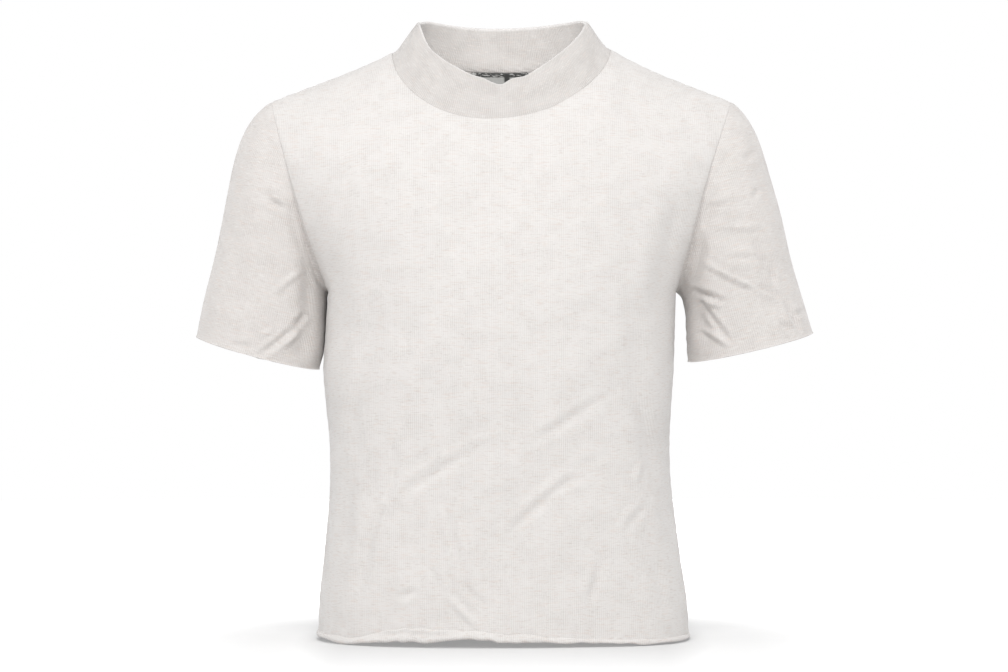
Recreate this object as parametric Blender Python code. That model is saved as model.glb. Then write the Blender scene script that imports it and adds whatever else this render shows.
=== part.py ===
"""A cropped, fine-knit sweater with short set-in sleeves and a stand-up neckband.

It keeps the hollow shape that it has when worn. Each piece that a maker cuts is one
wall of cloth: a front, a back, two sleeves, a folded neckband and a woven neck label.
Metres, +Z up, the front faces -Y, and the wearer's left is at +X. The origin is the
middle of the neck, level with the two high points where the shoulder seams meet the
neckband, because that is where the wearer's shoulders carry the sweater.
"""

import bpy
import numpy as np

CLOTH = 0.0015  # thickness of the single knit
BAND_CLOTH = 0.0026  # the neckband is the same knit, folded double
SEAM_GAP = 0.0003  # between two pieces that are sewn to each other

# Rows and columns of quads on each piece.
BODY_ROWS = 21  # hem to underarm
ARMHOLE_ROWS = 12  # underarm to shoulder seam
BODY_COLUMNS = 32  # side seam to side seam
SLEEVE_ROWS = 13
BAND_ROWS = 5

# Half-widths of the body on the wearer's right and left, from the hem to the underarm.
WIDTHS = (
    # height, right,  left
    (-0.5090, 0.1628, 0.1628),
    (-0.4780, 0.1606, 0.1598),
    (-0.4440, 0.1571, 0.1545),
    (-0.4090, 0.1536, 0.1500),
    (-0.3740, 0.1512, 0.1458),
    (-0.3390, 0.1518, 0.1448),
    (-0.3040, 0.1552, 0.1465),
    (-0.2770, 0.1572, 0.1483),
    (-0.2430, 0.1552, 0.1493),
    (-0.2090, 0.1528, 0.1502),
)

# How far the middle of the front and of the back stand from the side seams, and how
# square the sections are (2 is an ellipse), from the hem to above the neck.
DEPTHS = (
    # height, front,  back,   squareness
    (-0.5090, 0.1110, 0.0950, 2.45),
    (-0.4300, 0.1110, 0.0900, 2.45),
    (-0.3500, 0.1130, 0.0880, 2.40),
    (-0.2700, 0.1180, 0.0940, 2.35),
    (-0.2090, 0.1180, 0.0990, 2.30),
    (-0.1500, 0.1110, 0.1010, 2.30),
    (-0.1000, 0.1000, 0.0970, 2.30),
    (-0.0600, 0.0875, 0.0900, 2.30),
    (-0.0150, 0.0760, 0.0790, 2.30),
    (0.0300, 0.0680, 0.0700, 2.30),
)

# Shoulders and neck.
NECK_HALF_WIDTH = 0.0970  # middle to the high point of the shoulder
SHOULDER_TIP = {"right": 0.2025, "left": 0.1985}  # middle to the top of the armhole
SHOULDER_DROP = 0.0432
SHOULDER_SAG = 0.012  # how much the shoulder line hollows beside the neck
FRONT_NECK_DROP = 0.0605
BACK_NECK_DROP = 0.0153
SHOULDER_ROLL = 0.110  # height over which the cloth rolls over the shoulder
NECK_SHARE = 0.5  # share of a panel's top edge, from its middle, that is neckline
SHOULDER_ROWS = (0.22, 0.30)  # the rows crowd towards the seam from here, over this much
TOP_BEND = 0.62  # how much more evenly the columns are spread at the top, in radians
UNDERARM_EASE = 0.045  # height over which the chest's width is averaged
EDGE_POWER = 10  # how close to the panel's edge that averaging keeps off
HEM_CROWD = 0.94  # how much closer the rows lie towards the underarm
NECK_RIM = (0.78, 0.62)  # how the neck seam's edge faces: outwards and upwards

# Armholes. Each is a flat egg that leans in from the shoulder tip to the underarm.
ARMHOLE_DEPTH = {"front": 0.0540, "back": 0.0500}
ARMHOLE_HOLLOW = 0.0030  # how far the seam hollows in from a straight line
ARMHOLE_EGG = (0.50, 0.52)  # powers that round its lower and its upper end
ARMHOLE_LIMITS = (0.96, 0.95)  # most of its height and depth that set the chest's width

# Neckband, a folded strip that leans in from the neck seam to its top edge.
BAND_TOP_HALF_WIDTH = 0.0748
BAND_TOP_FRONT = (-0.0574, -0.0298)  # depth and height at the middle of the front
BAND_TOP_BACK = (0.0470, 0.0226)
BAND_TOP_SIDE = (-0.0040, 0.0280)
BAND_SQUARENESS = 2.5  # of its top edge seen from above, 2 is an ellipse
BAND_DIP = {"front": (1.4, 0.5), "back": (2.2, 1.0)}  # powers of the top edge's dip
BAND_FLARE = 0.0030  # how far it hollows between seam and top

# Sleeves: the ends of the cuff seen from the front, and the slope at which each line
# of the sleeve leaves the armhole and reaches the cuff.
CUFFS = {
    # side: outer end (x, z), inner end (x, z)
    "right": ((-0.2682, -0.2480), (-0.1612, -0.2765)),
    "left": ((0.2699, -0.2446), (0.1606, -0.2700)),
}
CUFF_HALF_DEPTH = 0.0475
CUFF_FORWARD = 0.0040
CUFF_FRONT_DROP = 0.0034  # the front edge of the cuff hangs lower than the back
CUFF_SQUARENESS = 2.05
SLEEVE_LINES = {
    # side and line: leaves outwards, down, reach; arrives outwards, down, reach
    "right top": (0.848, 0.530, 0.120, 0.225, 0.974, 0.495),
    "right middle": (0.740, 0.670, 0.110, 0.160, 0.987, 0.270),
    "right underarm": (0.900, 0.440, 0.016, 0.100, 0.995, 0.060),
    "left top": (0.848, 0.530, 0.120, 0.301, 0.954, 0.370),
    "left middle": (0.740, 0.670, 0.110, 0.190, 0.982, 0.230),
    "left underarm": (0.900, 0.440, 0.016, 0.050, 0.999, 0.060),
}

# Rolled hem: the cut edge curls to the outside in a bead.
HEM_ROLL_HEIGHT = 0.0080
HEM_ROLL_DEPTH = 0.0024
HEM_ROLL_START = 0.35  # share of the bead's bell that lies below the cut edge
HEM_WAVE_HEIGHT = 0.030  # the waves fade out over this height
HEM_WAVES = (
    # waves round the half, height, shift
    (2.0, 0.0012, 0.6),
    (5.0, 0.0008, 2.1),
)

# Woven label inside the back of the neck.
LABEL_SPAN = (-0.191, 0.150)  # from its right end to its left, in shares of the neckline
LABEL_ROWS = (0.06, 0.92)  # from its top to its bottom, in rows of the back panel
LABEL_CLOTH = 0.0010
LABEL_GAP = 0.0005
LABEL_POINTS = (4, 7)  # from its bottom to its top, and from its right end to its left

# The largest folds. A positive height is a ridge and a negative one a trough, from
# one point to another as seen from the front or the back.
FOLDS = {
    "front": (
        # x,     z,      to x,   to z,   width,  height
        (-0.095, -0.385, 0.030, -0.325, 0.0120, 0.0018),
        (0.010, -0.330, 0.118, -0.272, 0.0120, 0.0016),
        (-0.004, -0.418, 0.086, -0.350, 0.0110, 0.0018),
        (-0.116, -0.232, -0.132, -0.350, 0.0150, -0.0026),
        (-0.094, -0.335, -0.132, -0.480, 0.0130, -0.0030),
        (0.112, -0.235, 0.130, -0.330, 0.0150, -0.0026),
        (0.130, -0.330, 0.142, -0.400, 0.0120, -0.0022),
        (0.085, -0.428, 0.074, -0.486, 0.0110, 0.0016),
        (-0.052, -0.468, -0.024, -0.500, 0.0110, 0.0020),
        (0.100, -0.425, 0.130, -0.380, 0.0110, 0.0014),
    ),
    "back": (
        (-0.100, -0.150, -0.030, -0.245, 0.0160, -0.0020),
        (0.094, -0.160, 0.022, -0.262, 0.0160, -0.0022),
        (-0.120, -0.300, -0.010, -0.338, 0.0130, 0.0020),
        (0.116, -0.318, 0.008, -0.362, 0.0130, 0.0018),
        (-0.090, -0.372, -0.104, -0.490, 0.0150, -0.0026),
        (0.084, -0.386, 0.098, -0.498, 0.0150, -0.0028),
        (-0.006, -0.396, 0.004, -0.500, 0.0160, 0.0020),
    ),
    "sleeve_right": (
        (-0.214, -0.263, -0.170, -0.238, 0.0100, -0.0026),
        (-0.182, -0.216, -0.222, -0.190, 0.0110, 0.0014),
        (-0.184, -0.122, -0.216, -0.142, 0.0110, -0.0014),
    ),
    "sleeve_left": (
        (0.164, -0.208, 0.196, -0.220, 0.0100, -0.0024),
        (0.176, -0.226, 0.204, -0.262, 0.0100, -0.0022),
        (0.204, -0.194, 0.250, -0.216, 0.0110, -0.0018),
        (0.250, -0.216, 0.260, -0.246, 0.0100, -0.0024),
        (0.218, -0.166, 0.238, -0.204, 0.0100, -0.0020),
        (0.172, -0.248, 0.196, -0.258, 0.0090, 0.0018),
    ),
}

# How folds die away: over this share of a fold at each end, where the cloth turns from
# the viewer, and beside a piece's own seams.
FOLD_FADE = 0.25
FOLD_FACING = 1.6
PANEL_FOLD_EASE = 4.0
SLEEVE_FOLD_EASE = 5.0

KNIT_COLOUR = (0.800, 0.775, 0.745, 1.0)
KNIT_ROUGHNESS = 0.92
LABEL_COLOUR = (0.060, 0.062, 0.060, 1.0)
LABEL_ROUGHNESS = 0.75


def unit(vectors):
    """The same directions with length 1."""
    return vectors / np.linalg.norm(vectors, axis=-1, keepdims=True)


def through(table, column, height):
    """A smooth curve through one column of a table, whose first column is the height.

    Between two rows it is the cubic whose slopes are those of the rows on each side.
    """
    rows = np.array(table)
    knots, values = rows[:, 0], rows[:, column]
    slopes = np.gradient(values, knots)
    low = np.clip(np.searchsorted(knots, height) - 1, 0, len(knots) - 2)
    step = knots[low + 1] - knots[low]
    t = np.clip((height - knots[low]) / step, 0.0, 1.0)
    from_low = (1 + 2 * t) * (1 - t) ** 2 * values[low] + t * (1 - t) ** 2 * step * slopes[low]
    from_high = t**2 * (3 - 2 * t) * values[low + 1] - t**2 * (1 - t) * step * slopes[low + 1]
    return from_low + from_high


def by_side(x, right, left):
    """The right-hand value where x is negative, and the left-hand one elsewhere."""
    return np.where(x < 0, right, left)


UNDERARM = WIDTHS[-1][0]
HEM = WIDTHS[0][0]
PANELS = {"front": (1, -1.0), "back": (2, 1.0)}  # column of DEPTHS, and which way it faces


def armhole_line(x_sign, share):
    """Where the armhole is, seen from the front, at a share of its height: x and z."""
    underarm = by_side(x_sign, WIDTHS[-1][1], WIDTHS[-1][2])
    tip = by_side(x_sign, SHOULDER_TIP["right"], SHOULDER_TIP["left"])
    hollow = ARMHOLE_HOLLOW * np.sin(np.pi * share)
    x = underarm + (tip - underarm) * share - hollow
    return x_sign * x, UNDERARM + (-SHOULDER_DROP - UNDERARM) * share


def egg(share):
    """The armhole's half-depth at a share of its height, as a share of its largest."""
    low, high = ARMHOLE_EGG
    peak = low / (low + high)
    return share**low * (1 - share) ** high / (peak**low * (1 - peak) ** high)


def shoulder_line(x):
    """Height of the shoulder seam at x. Inside the neck it runs on as a smooth arch."""
    tip = by_side(x, SHOULDER_TIP["right"], SHOULDER_TIP["left"])
    share = (np.abs(x) - NECK_HALF_WIDTH) / (tip - NECK_HALF_WIDTH)
    arch = (x**2 - NECK_HALF_WIDTH**2) / (2 * NECK_HALF_WIDTH) / (tip - NECK_HALF_WIDTH)
    inside = np.clip(share, 0.0, 1.0)
    line = -SHOULDER_DROP * share - SHOULDER_SAG * inside * (1 - inside) ** 2
    return np.where(share < 0, -SHOULDER_DROP * arch, line)


def roll(x, z):
    """How far the cloth has come down from the shoulder seam, from 0 to 1."""
    down = np.clip((shoulder_line(x) - z) / SHOULDER_ROLL, 0.0, 1.0)
    return np.sqrt(1 - (1 - down) ** 2)


def half_width(side, z, panel):
    """Half-width of the level section at z, which the table gives up to the underarm.

    Above it, it is the width that takes the section through the armhole's edge, whose
    place and depth at that height are known: x / (1 - (y / depth)^n)^(1 / n).
    """
    n, depth = through(DEPTHS, 3, z), through(DEPTHS, PANELS[panel][0], z)
    low_width = by_side(side, through(WIDTHS, 1, z), through(WIDTHS, 2, z))
    share = (z - UNDERARM) / (-SHOULDER_DROP - UNDERARM)
    share = np.clip(share, 0.0, ARMHOLE_LIMITS[0])
    edge_x, edge_z = armhole_line(side, share)
    part = ARMHOLE_DEPTH[panel] * egg(share) / (depth * roll(edge_x, edge_z))
    part = np.clip(part, 0.0, ARMHOLE_LIMITS[1])
    high_width = np.abs(edge_x) / (1 - part**n) ** (1 / n)
    return np.where(z > UNDERARM, high_width, low_width)


def surface_y(x, z, u, panel):
    """Depth of the front or back panel at x, z, where u is -1 and 1 on its two edges.

    Each level section is half of a rounded rectangle, |x/w|^n + |y/d|^n = 1. Near the
    shoulder the depth also rolls in to nothing at the seam. Inside the panel's edges
    the width is averaged over a hand's breadth of height round the underarm, so that
    the chest has no ledge there.
    """
    column, sign = PANELS[panel]
    side = by_side(u, -1.0, 1.0)
    n, depth = through(DEPTHS, 3, z), through(DEPTHS, column, z)
    width = half_width(side, z, panel)
    steps = np.linspace(-UNDERARM_EASE, UNDERARM_EASE, 9)
    eased = sum(half_width(side, z + step, panel) for step in steps) / len(steps)
    near = np.exp(-(((z - UNDERARM) / UNDERARM_EASE) ** 2)) * (1 - np.abs(u) ** EDGE_POWER)
    width = width + (eased - width) * near
    across = np.clip(np.abs(x) / width, 0.0, 1.0)
    return sign * depth * (1 - across**n) ** (1 / n) * roll(x, z)


def panel_surface(panel):
    """Outer points of the front or back, row by row from the hem to the top edge.

    Across each row u runs from -1 to 1. Below the underarm the rows are level. Above
    it each column climbs to its own place on the top edge, which is the shoulder
    seam, the neckline and the other shoulder seam, and the rows end on the armholes.
    """
    u = np.linspace(-1.0, 1.0, BODY_COLUMNS + 1)[None, :]
    side = by_side(u, -1.0, 1.0)
    low = np.linspace(0.0, 1.0, BODY_ROWS + 1)[:, None] ** HEM_CROWD
    z_low = HEM + (UNDERARM - HEM) * low + 0 * u
    half = by_side(u, through(WIDTHS, 1, z_low), through(WIDTHS, 2, z_low))
    x_low = half * np.sin(np.pi / 2 * u)

    v = np.linspace(0.0, 1.0, ARMHOLE_ROWS + 1)[1:, None]
    crowded = np.clip((np.abs(u) - SHOULDER_ROWS[0]) / SHOULDER_ROWS[1], 0.0, 1.0)
    crowded = crowded**2 * (3 - 2 * crowded)
    climb = (1 - crowded) * v + crowded * (1 - np.cos(np.pi * v)) / 2
    edge_x, _ = armhole_line(side, climb)
    x_top, z_top = top_edge(u, panel)
    tip, _ = armhole_line(side, 1.0)
    bend, bend_top = np.pi / 2 - TOP_BEND * climb, np.pi / 2 - TOP_BEND
    spread = np.sin(bend * np.abs(u)) / np.sin(bend)
    spread_top = np.sin(bend_top * np.abs(u)) / np.sin(bend_top)
    x_high = edge_x * spread + climb**2 * (x_top - tip * spread_top)
    z_high = UNDERARM + (z_top - UNDERARM) * climb

    x = np.concatenate([x_low, x_high])
    z = np.concatenate([z_low, z_high])
    return np.stack([x, surface_y(x, z, u, panel), z], axis=-1)


def top_edge(u, panel):
    """x and z of a panel's top edge: a half ellipse at the neck, then the shoulders."""
    drop = FRONT_NECK_DROP if panel == "front" else BACK_NECK_DROP
    angle = np.pi / 2 * np.clip(np.abs(u) / NECK_SHARE, 0.0, 1.0)
    along = np.clip((np.abs(u) - NECK_SHARE) / (1 - NECK_SHARE), 0.0, 1.0)
    tip = by_side(u, SHOULDER_TIP["right"], SHOULDER_TIP["left"])
    x = np.sign(u) * (NECK_HALF_WIDTH * np.sin(angle) + (tip - NECK_HALF_WIDTH) * along)
    return x, np.where(along > 0, shoulder_line(x), -drop * np.cos(angle))


def folds_at(points, name, facing):
    """Height of a piece's folds at each point, seen along Y.

    Each fold is a bell across its width, and fades out towards its two ends. facing is
    how squarely the surface faces the viewer, and takes a fold off what it hides.
    """
    height = np.zeros(points.shape[:-1])
    for x0, z0, x1, z1, width, rise in FOLDS[name]:
        along = np.array([x1 - x0, z1 - z0])
        length = np.linalg.norm(along)
        offset = points[..., [0, 2]] - np.array([x0, z0])
        t = offset @ along / length**2
        across = (offset[..., 0] * along[1] - offset[..., 1] * along[0]) / length
        fade = np.clip((1 + FOLD_FADE - np.abs(2 * t - 1)) / (2 * FOLD_FADE), 0.0, 1.0)
        height += rise * np.exp(-((across / width) ** 2)) * fade
    return height * np.clip(facing * FOLD_FACING, 0.0, 1.0)


def grid_normals(points, closed):
    """Unit normals of a grid of points; closed means that the last column meets the first."""
    if closed:
        padded = np.concatenate([points[:, -1:], points, points[:, :1]], axis=1)
        across = np.gradient(padded, axis=1)[:, 1:-1]
    else:
        across = np.gradient(points, axis=1)
    along = np.gradient(points, axis=0)
    return unit(np.cross(across, along))


def make_wall(name, outer, inner, closed, material):
    """One closed body between two grids of points, with a rim along each free edge."""
    rows, columns = outer.shape[:2]
    count = rows * columns
    at = np.arange(count).reshape(rows, columns)
    if closed:
        at = np.concatenate([at, at[:, :1]], axis=1)
    low_left, low_right = at[:-1, :-1], at[:-1, 1:]
    high_left, high_right = at[1:, :-1], at[1:, 1:]
    skin = np.stack([low_left, low_right, high_right, high_left], axis=-1).reshape(-1, 4)
    faces = [skin, skin[:, ::-1] + count]

    def rim(edge):
        return np.stack([edge[1:], edge[:-1], edge[:-1] + count, edge[1:] + count], axis=-1)

    faces += [rim(at[0]), rim(at[-1, ::-1])]
    if not closed:
        faces += [rim(at[::-1, 0]), rim(at[:, -1])]
    mesh = bpy.data.meshes.new(name)
    points = np.concatenate([outer.reshape(-1, 3), inner.reshape(-1, 3)])
    mesh.from_pydata(points.tolist(), [], np.concatenate(faces).tolist())
    mesh.materials.append(material)
    mesh.shade_smooth()
    piece = bpy.data.objects.new(name, mesh)
    bpy.data.collections["sweater"].objects.link(piece)
    return piece


def armhole_rim(points, side):
    """Directions from the armhole's outer edge to its inner one: the egg's own normals."""
    sign = -1.0 if side == "right" else 1.0
    underarm_x, underarm_z = armhole_line(sign, 0.0)
    tip_x, tip_z = armhole_line(sign, 1.0)
    climb = np.array([tip_x - underarm_x, 0.0, tip_z - underarm_z])
    half = np.linalg.norm(climb) / 2
    middle = np.array([(tip_x + underarm_x) / 2, 0.0, (tip_z + underarm_z) / 2])
    climb = climb / (2 * half)
    up = (points - middle) @ climb
    out_y = points[..., 1] / ARMHOLE_DEPTH["front"] ** 2
    return -unit(up[..., None] / half**2 * climb + out_y[..., None] * np.array([0.0, 1.0, 0.0]))


def neck_columns():
    """Which columns of a panel end on the neckline."""
    at = np.arange(BODY_COLUMNS + 1) * 2 - BODY_COLUMNS
    return np.abs(at) <= round(NECK_SHARE * BODY_COLUMNS)


def neck_rim(points):
    """Directions from the neckline's outer edge to its inner one: inwards and down."""
    outwards, upwards = NECK_RIM
    middle_y = (BAND_TOP_FRONT[0] + BAND_TOP_BACK[0]) / 2
    plan = points * np.array([1.0, 1.0, 0.0]) - np.array([0.0, middle_y, 0.0])
    return -unit(outwards * unit(plan) + upwards * np.array([0.0, 0.0, 1.0]))


def panel_walls(panel):
    """Outer and inner points of the front or back, with the edges that seams share."""
    sign = PANELS[panel][1]
    plain = panel_surface(panel)
    normals = grid_normals(plain, closed=False) * -sign
    facing = np.clip(normals[..., 1] * sign, 0.0, 1.0)
    u = np.linspace(-1, 1, BODY_COLUMNS + 1)[None, :]
    ease = np.minimum(1.0, PANEL_FOLD_EASE * (1 - np.abs(u)))
    outer = plain + normals * (folds_at(plain, panel, facing) * ease)[..., None]

    # Below the hem roll's height the outer face swells, and the cut edge waves.
    above_hem = (plain[..., 2] - HEM) / HEM_ROLL_HEIGHT
    bell = HEM_ROLL_START + above_hem * (1 - HEM_ROLL_START)
    swell = np.sin(np.pi * np.clip(bell, 0.0, 1.0))
    wave = sum(high * np.sin(np.pi * turns * u + shift) for turns, high, shift in HEM_WAVES)
    near_hem = np.clip(1 - (plain[..., 2] - HEM) / HEM_WAVE_HEIGHT, 0.0, 1.0)
    outer[..., 2] += wave * near_hem * (1 - u**2)

    # Seams: the side, the armhole, the shoulder and the neck each share one rim.
    inward = -normals
    for column, way in ((0, 1.0), (-1, -1.0)):
        slope = np.gradient(plain[: BODY_ROWS + 1, column], axis=0)
        inward[: BODY_ROWS + 1, column] = unit(
            np.stack([way * slope[:, 2], 0 * slope[:, 1], -way * slope[:, 0]], axis=-1)
        )
    top = plain[-1]
    slope = np.gradient(top, axis=0)
    inward[-1] = unit(np.stack([slope[:, 2], 0 * slope[:, 1], -slope[:, 0]], axis=-1))
    neck = neck_columns()
    inward[-1, neck] = neck_rim(top[neck])
    inward[BODY_ROWS:, 0] = armhole_rim(plain[BODY_ROWS:, 0], "right")
    inward[BODY_ROWS:, -1] = armhole_rim(plain[BODY_ROWS:, -1], "left")
    inner = outer + inward * CLOTH
    outer = outer + normals * (HEM_ROLL_DEPTH * swell)[..., None]
    apart = np.array([0.0, sign * SEAM_GAP / 2, 0.0])
    return outer + apart, inner + apart


def ring_of(front, back):
    """One closed ring from a panel edge of the front and the same edge of the back.

    Both run between the same two seam points, and each of those is used once.
    """
    start, end = (front[0] + back[0]) / 2, (front[-1] + back[-1]) / 2
    return np.concatenate([[start], front[1:-1], [end], back[-2:0:-1]])


def sleeve_walls(side, front, back):
    """Outer and inner points of a sleeve, ring by ring from the armhole to the cuff.

    Its first ring is the armhole's own rim, moved out by the seam's gap. Every point
    of that ring follows a cubic to its place on the cuff: the line leaves the armhole
    in one direction and reaches the cuff in another, as its table says.
    """
    column, sign = (0, -1.0) if side == "right" else (-1, 1.0)
    edges = [
        ring_of(front[k][BODY_ROWS:, column], back[k][BODY_ROWS:, column]) for k in (0, 1)
    ]
    underarm_x, underarm_z = armhole_line(sign, 0.0)
    tip_x, tip_z = armhole_line(sign, 1.0)
    leaves = unit(np.array([sign * (tip_z - underarm_z), 0.0, -sign * (tip_x - underarm_x)]))
    start = edges[0] + leaves * SEAM_GAP
    rim = edges[1] + leaves * SEAM_GAP

    # Angle round the sleeve: 0 at the underarm, a half turn at the top.
    half = ARMHOLE_ROWS
    angle = np.pi * np.arange(2 * half) / half
    lift = (1 - np.cos(angle)) / 2
    forward = np.sin(angle)

    (outer_x, outer_z), (inner_x, inner_z) = CUFFS[side]
    power = 2 / CUFF_SQUARENESS
    across = np.sign(-np.cos(angle)) * np.abs(np.cos(angle)) ** power
    depth = np.sign(forward) * np.abs(forward) ** power
    cuff = np.stack(
        [
            (outer_x + inner_x) / 2 + (outer_x - inner_x) / 2 * across,
            -CUFF_FORWARD - CUFF_HALF_DEPTH * depth,
            (outer_z + inner_z) / 2 + (outer_z - inner_z) / 2 * across - CUFF_FRONT_DROP * depth,
        ],
        axis=-1,
    )

    # Each ring point's two directions blend those of the underarm, middle and top.
    rows = np.array([SLEEVE_LINES[f"{side} {line}"] for line in ("underarm", "middle", "top")])
    weights = np.stack([(1 - lift) ** 2, 2 * lift * (1 - lift), lift**2], axis=-1)
    out_start, down_start, reach_start, out_end, down_end, reach_end = (weights @ rows).T
    level = np.zeros_like(lift)
    leave = unit(np.stack([sign * out_start, level, -down_start], axis=-1)) * reach_start[:, None]
    arrive = unit(np.stack([sign * out_end, level, -down_end], axis=-1)) * reach_end[:, None]

    t = np.linspace(0.0, 1.0, SLEEVE_ROWS + 1)[:, None, None]
    plain = (
        (1 + 2 * t) * (1 - t) ** 2 * start
        + t * (1 - t) ** 2 * leave
        + t**2 * (3 - 2 * t) * cuff
        - t**2 * (1 - t) * arrive
    )
    normals = grid_normals(plain, closed=True) * -sign
    name = "sleeve_" + side
    ease = np.minimum(1.0, SLEEVE_FOLD_EASE * t[..., 0])
    fold = folds_at(plain, name, np.clip(-normals[..., 1], 0.0, 1.0)) * ease
    outer = plain + normals * fold[..., None]
    inner = outer - normals * CLOTH
    inner[0] = rim
    return outer, inner


def band_walls(front, back):
    """Outer and inner points of the neckband, from the neck seam to its folded top."""
    neck = neck_columns()
    base = ring_of(front[0][-1, neck], back[0][-1, neck])
    inward = neck_rim(base)
    plan = unit(base * np.array([1.0, 1.0, 0.0]))
    rise = unit(np.cross(np.cross(inward, plan), inward))
    rise = rise * np.sign(rise[:, 2:])
    start = base + rise * SEAM_GAP

    # The top edge, a rounded rectangle from above. Its front dips to a soft point.
    half = neck.sum() - 1
    turn = np.linspace(-np.pi / 2, np.pi / 2, half + 1)
    across = np.sin(np.concatenate([turn, -turn[1:-1]]))
    is_front = np.arange(len(across)) <= half
    end_y = np.where(is_front, BAND_TOP_FRONT[0], BAND_TOP_BACK[0])
    end_z = np.where(is_front, BAND_TOP_FRONT[1], BAND_TOP_BACK[1])
    inner_power, outer_power = np.where(
        is_front[:, None], BAND_DIP["front"], BAND_DIP["back"]
    ).T
    ahead = (1 - np.abs(across) ** BAND_SQUARENESS) ** (1 / BAND_SQUARENESS)
    dip = (1 - np.abs(across) ** inner_power) ** outer_power
    side_y, side_z = BAND_TOP_SIDE
    top = np.stack(
        [
            BAND_TOP_HALF_WIDTH * across,
            side_y + (end_y - side_y) * ahead,
            side_z + (end_z - side_z) * dip,
        ],
        axis=-1,
    )
    t = np.linspace(0.0, 1.0, BAND_ROWS + 1)[:, None, None]
    outer = start * (1 - t) + top * t - plan * BAND_FLARE * np.sin(np.pi * t)
    normals = grid_normals(outer, closed=True)
    inner = outer - normals * BAND_CLOTH
    inner[0] = start + inward * BAND_CLOTH
    return outer, inner


def label_walls(back):
    """The label: a strip of the back panel's own inner face, moved in past the cloth."""
    inner = back[1]
    span = np.linspace(*LABEL_SPAN, LABEL_POINTS[1]) * NECK_SHARE
    column = BODY_COLUMNS / 2 * (1 + span)[None, :]
    row = BODY_ROWS + ARMHOLE_ROWS - np.linspace(*LABEL_ROWS, LABEL_POINTS[0])[::-1, None]
    low_row, low_column = np.floor(row).astype(int), np.floor(column).astype(int)
    t, s = (row - low_row)[..., None], (column - low_column)[..., None]
    low = inner[low_row, low_column] * (1 - s) + inner[low_row, low_column + 1] * s
    high = inner[low_row + 1, low_column] * (1 - s) + inner[low_row + 1, low_column + 1] * s
    face = low * (1 - t) + high * t
    normals = grid_normals(face, closed=False)
    outward = normals * np.sign(normals[..., 1:2])
    outer = face - outward * LABEL_GAP
    return outer, outer - outward * LABEL_CLOTH


def make_material(name, colour, roughness):
    """A plain cloth finish."""
    material = bpy.data.materials.new(name)
    material.use_nodes = True
    shader = material.node_tree.nodes["Principled BSDF"]
    shader.inputs["Base Color"].default_value = colour
    shader.inputs["Roughness"].default_value = roughness
    material.diffuse_color = colour
    return material


def main():
    for old in list(bpy.data.objects):
        bpy.data.objects.remove(old)
    bpy.context.scene.collection.children.link(bpy.data.collections.new("sweater"))
    knit = make_material("oatmeal_knit", KNIT_COLOUR, KNIT_ROUGHNESS)
    woven = make_material("charcoal_label", LABEL_COLOUR, LABEL_ROUGHNESS)

    front, back = panel_walls("front"), panel_walls("back")
    make_wall("front", *front, closed=False, material=knit)
    make_wall("back", *[grid[:, ::-1] for grid in back], closed=False, material=knit)
    for side in ("right", "left"):
        outer, inner = sleeve_walls(side, front, back)
        if side == "left":
            outer, inner = outer[:, ::-1], inner[:, ::-1]
        make_wall("sleeve_" + side, outer, inner, closed=True, material=knit)
    make_wall("neckband", *band_walls(front, back), closed=True, material=knit)
    outer, inner = label_walls(back)
    make_wall("neck_label", outer[:, ::-1], inner[:, ::-1], closed=False, material=woven)


main()
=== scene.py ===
import bpy
import numpy as np
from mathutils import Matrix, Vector


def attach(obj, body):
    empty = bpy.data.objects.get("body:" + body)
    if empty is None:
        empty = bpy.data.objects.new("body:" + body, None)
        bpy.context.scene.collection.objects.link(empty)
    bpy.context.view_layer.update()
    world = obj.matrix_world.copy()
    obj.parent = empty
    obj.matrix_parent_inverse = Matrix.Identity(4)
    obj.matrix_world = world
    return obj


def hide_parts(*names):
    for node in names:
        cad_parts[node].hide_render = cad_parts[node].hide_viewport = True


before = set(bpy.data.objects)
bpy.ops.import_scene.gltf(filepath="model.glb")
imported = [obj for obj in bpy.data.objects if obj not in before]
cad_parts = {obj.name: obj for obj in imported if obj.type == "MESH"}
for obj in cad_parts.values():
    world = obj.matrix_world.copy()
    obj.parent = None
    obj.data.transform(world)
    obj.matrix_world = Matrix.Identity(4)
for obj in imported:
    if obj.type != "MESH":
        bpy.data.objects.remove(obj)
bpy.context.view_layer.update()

# ---------------------------------------------------------------------------
# Front panel
# One piece of fine rib knit in an oatmeal melange yarn, cut with its ribs upright.
# It is sewn to the back at the sides and the shoulders, to the sleeves and to the
# neckband. Its lower edge is cut raw, and curls outwards in a loose, uneven roll.

CLOTH = 0.0014  # thickness of the knit
CURLED_CLOTH = 0.0010  # the knit is stretched thinner in the hem's roll
SEAM_GAP = 0.0001  # between two pieces that are sewn to each other

# Half-widths of the body on the wearer's right and left, from the hem to the underarm.
WIDTHS = (
    # height, right,  left
    (-0.5090, 0.1616, 0.1616),
    (-0.4780, 0.1606, 0.1598),
    (-0.4440, 0.1571, 0.1545),
    (-0.4090, 0.1536, 0.1500),
    (-0.3740, 0.1512, 0.1458),
    (-0.3390, 0.1518, 0.1448),
    (-0.3040, 0.1552, 0.1465),
    (-0.2770, 0.1572, 0.1483),
    (-0.2430, 0.1552, 0.1493),
    (-0.2090, 0.1528, 0.1502),
)

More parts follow.
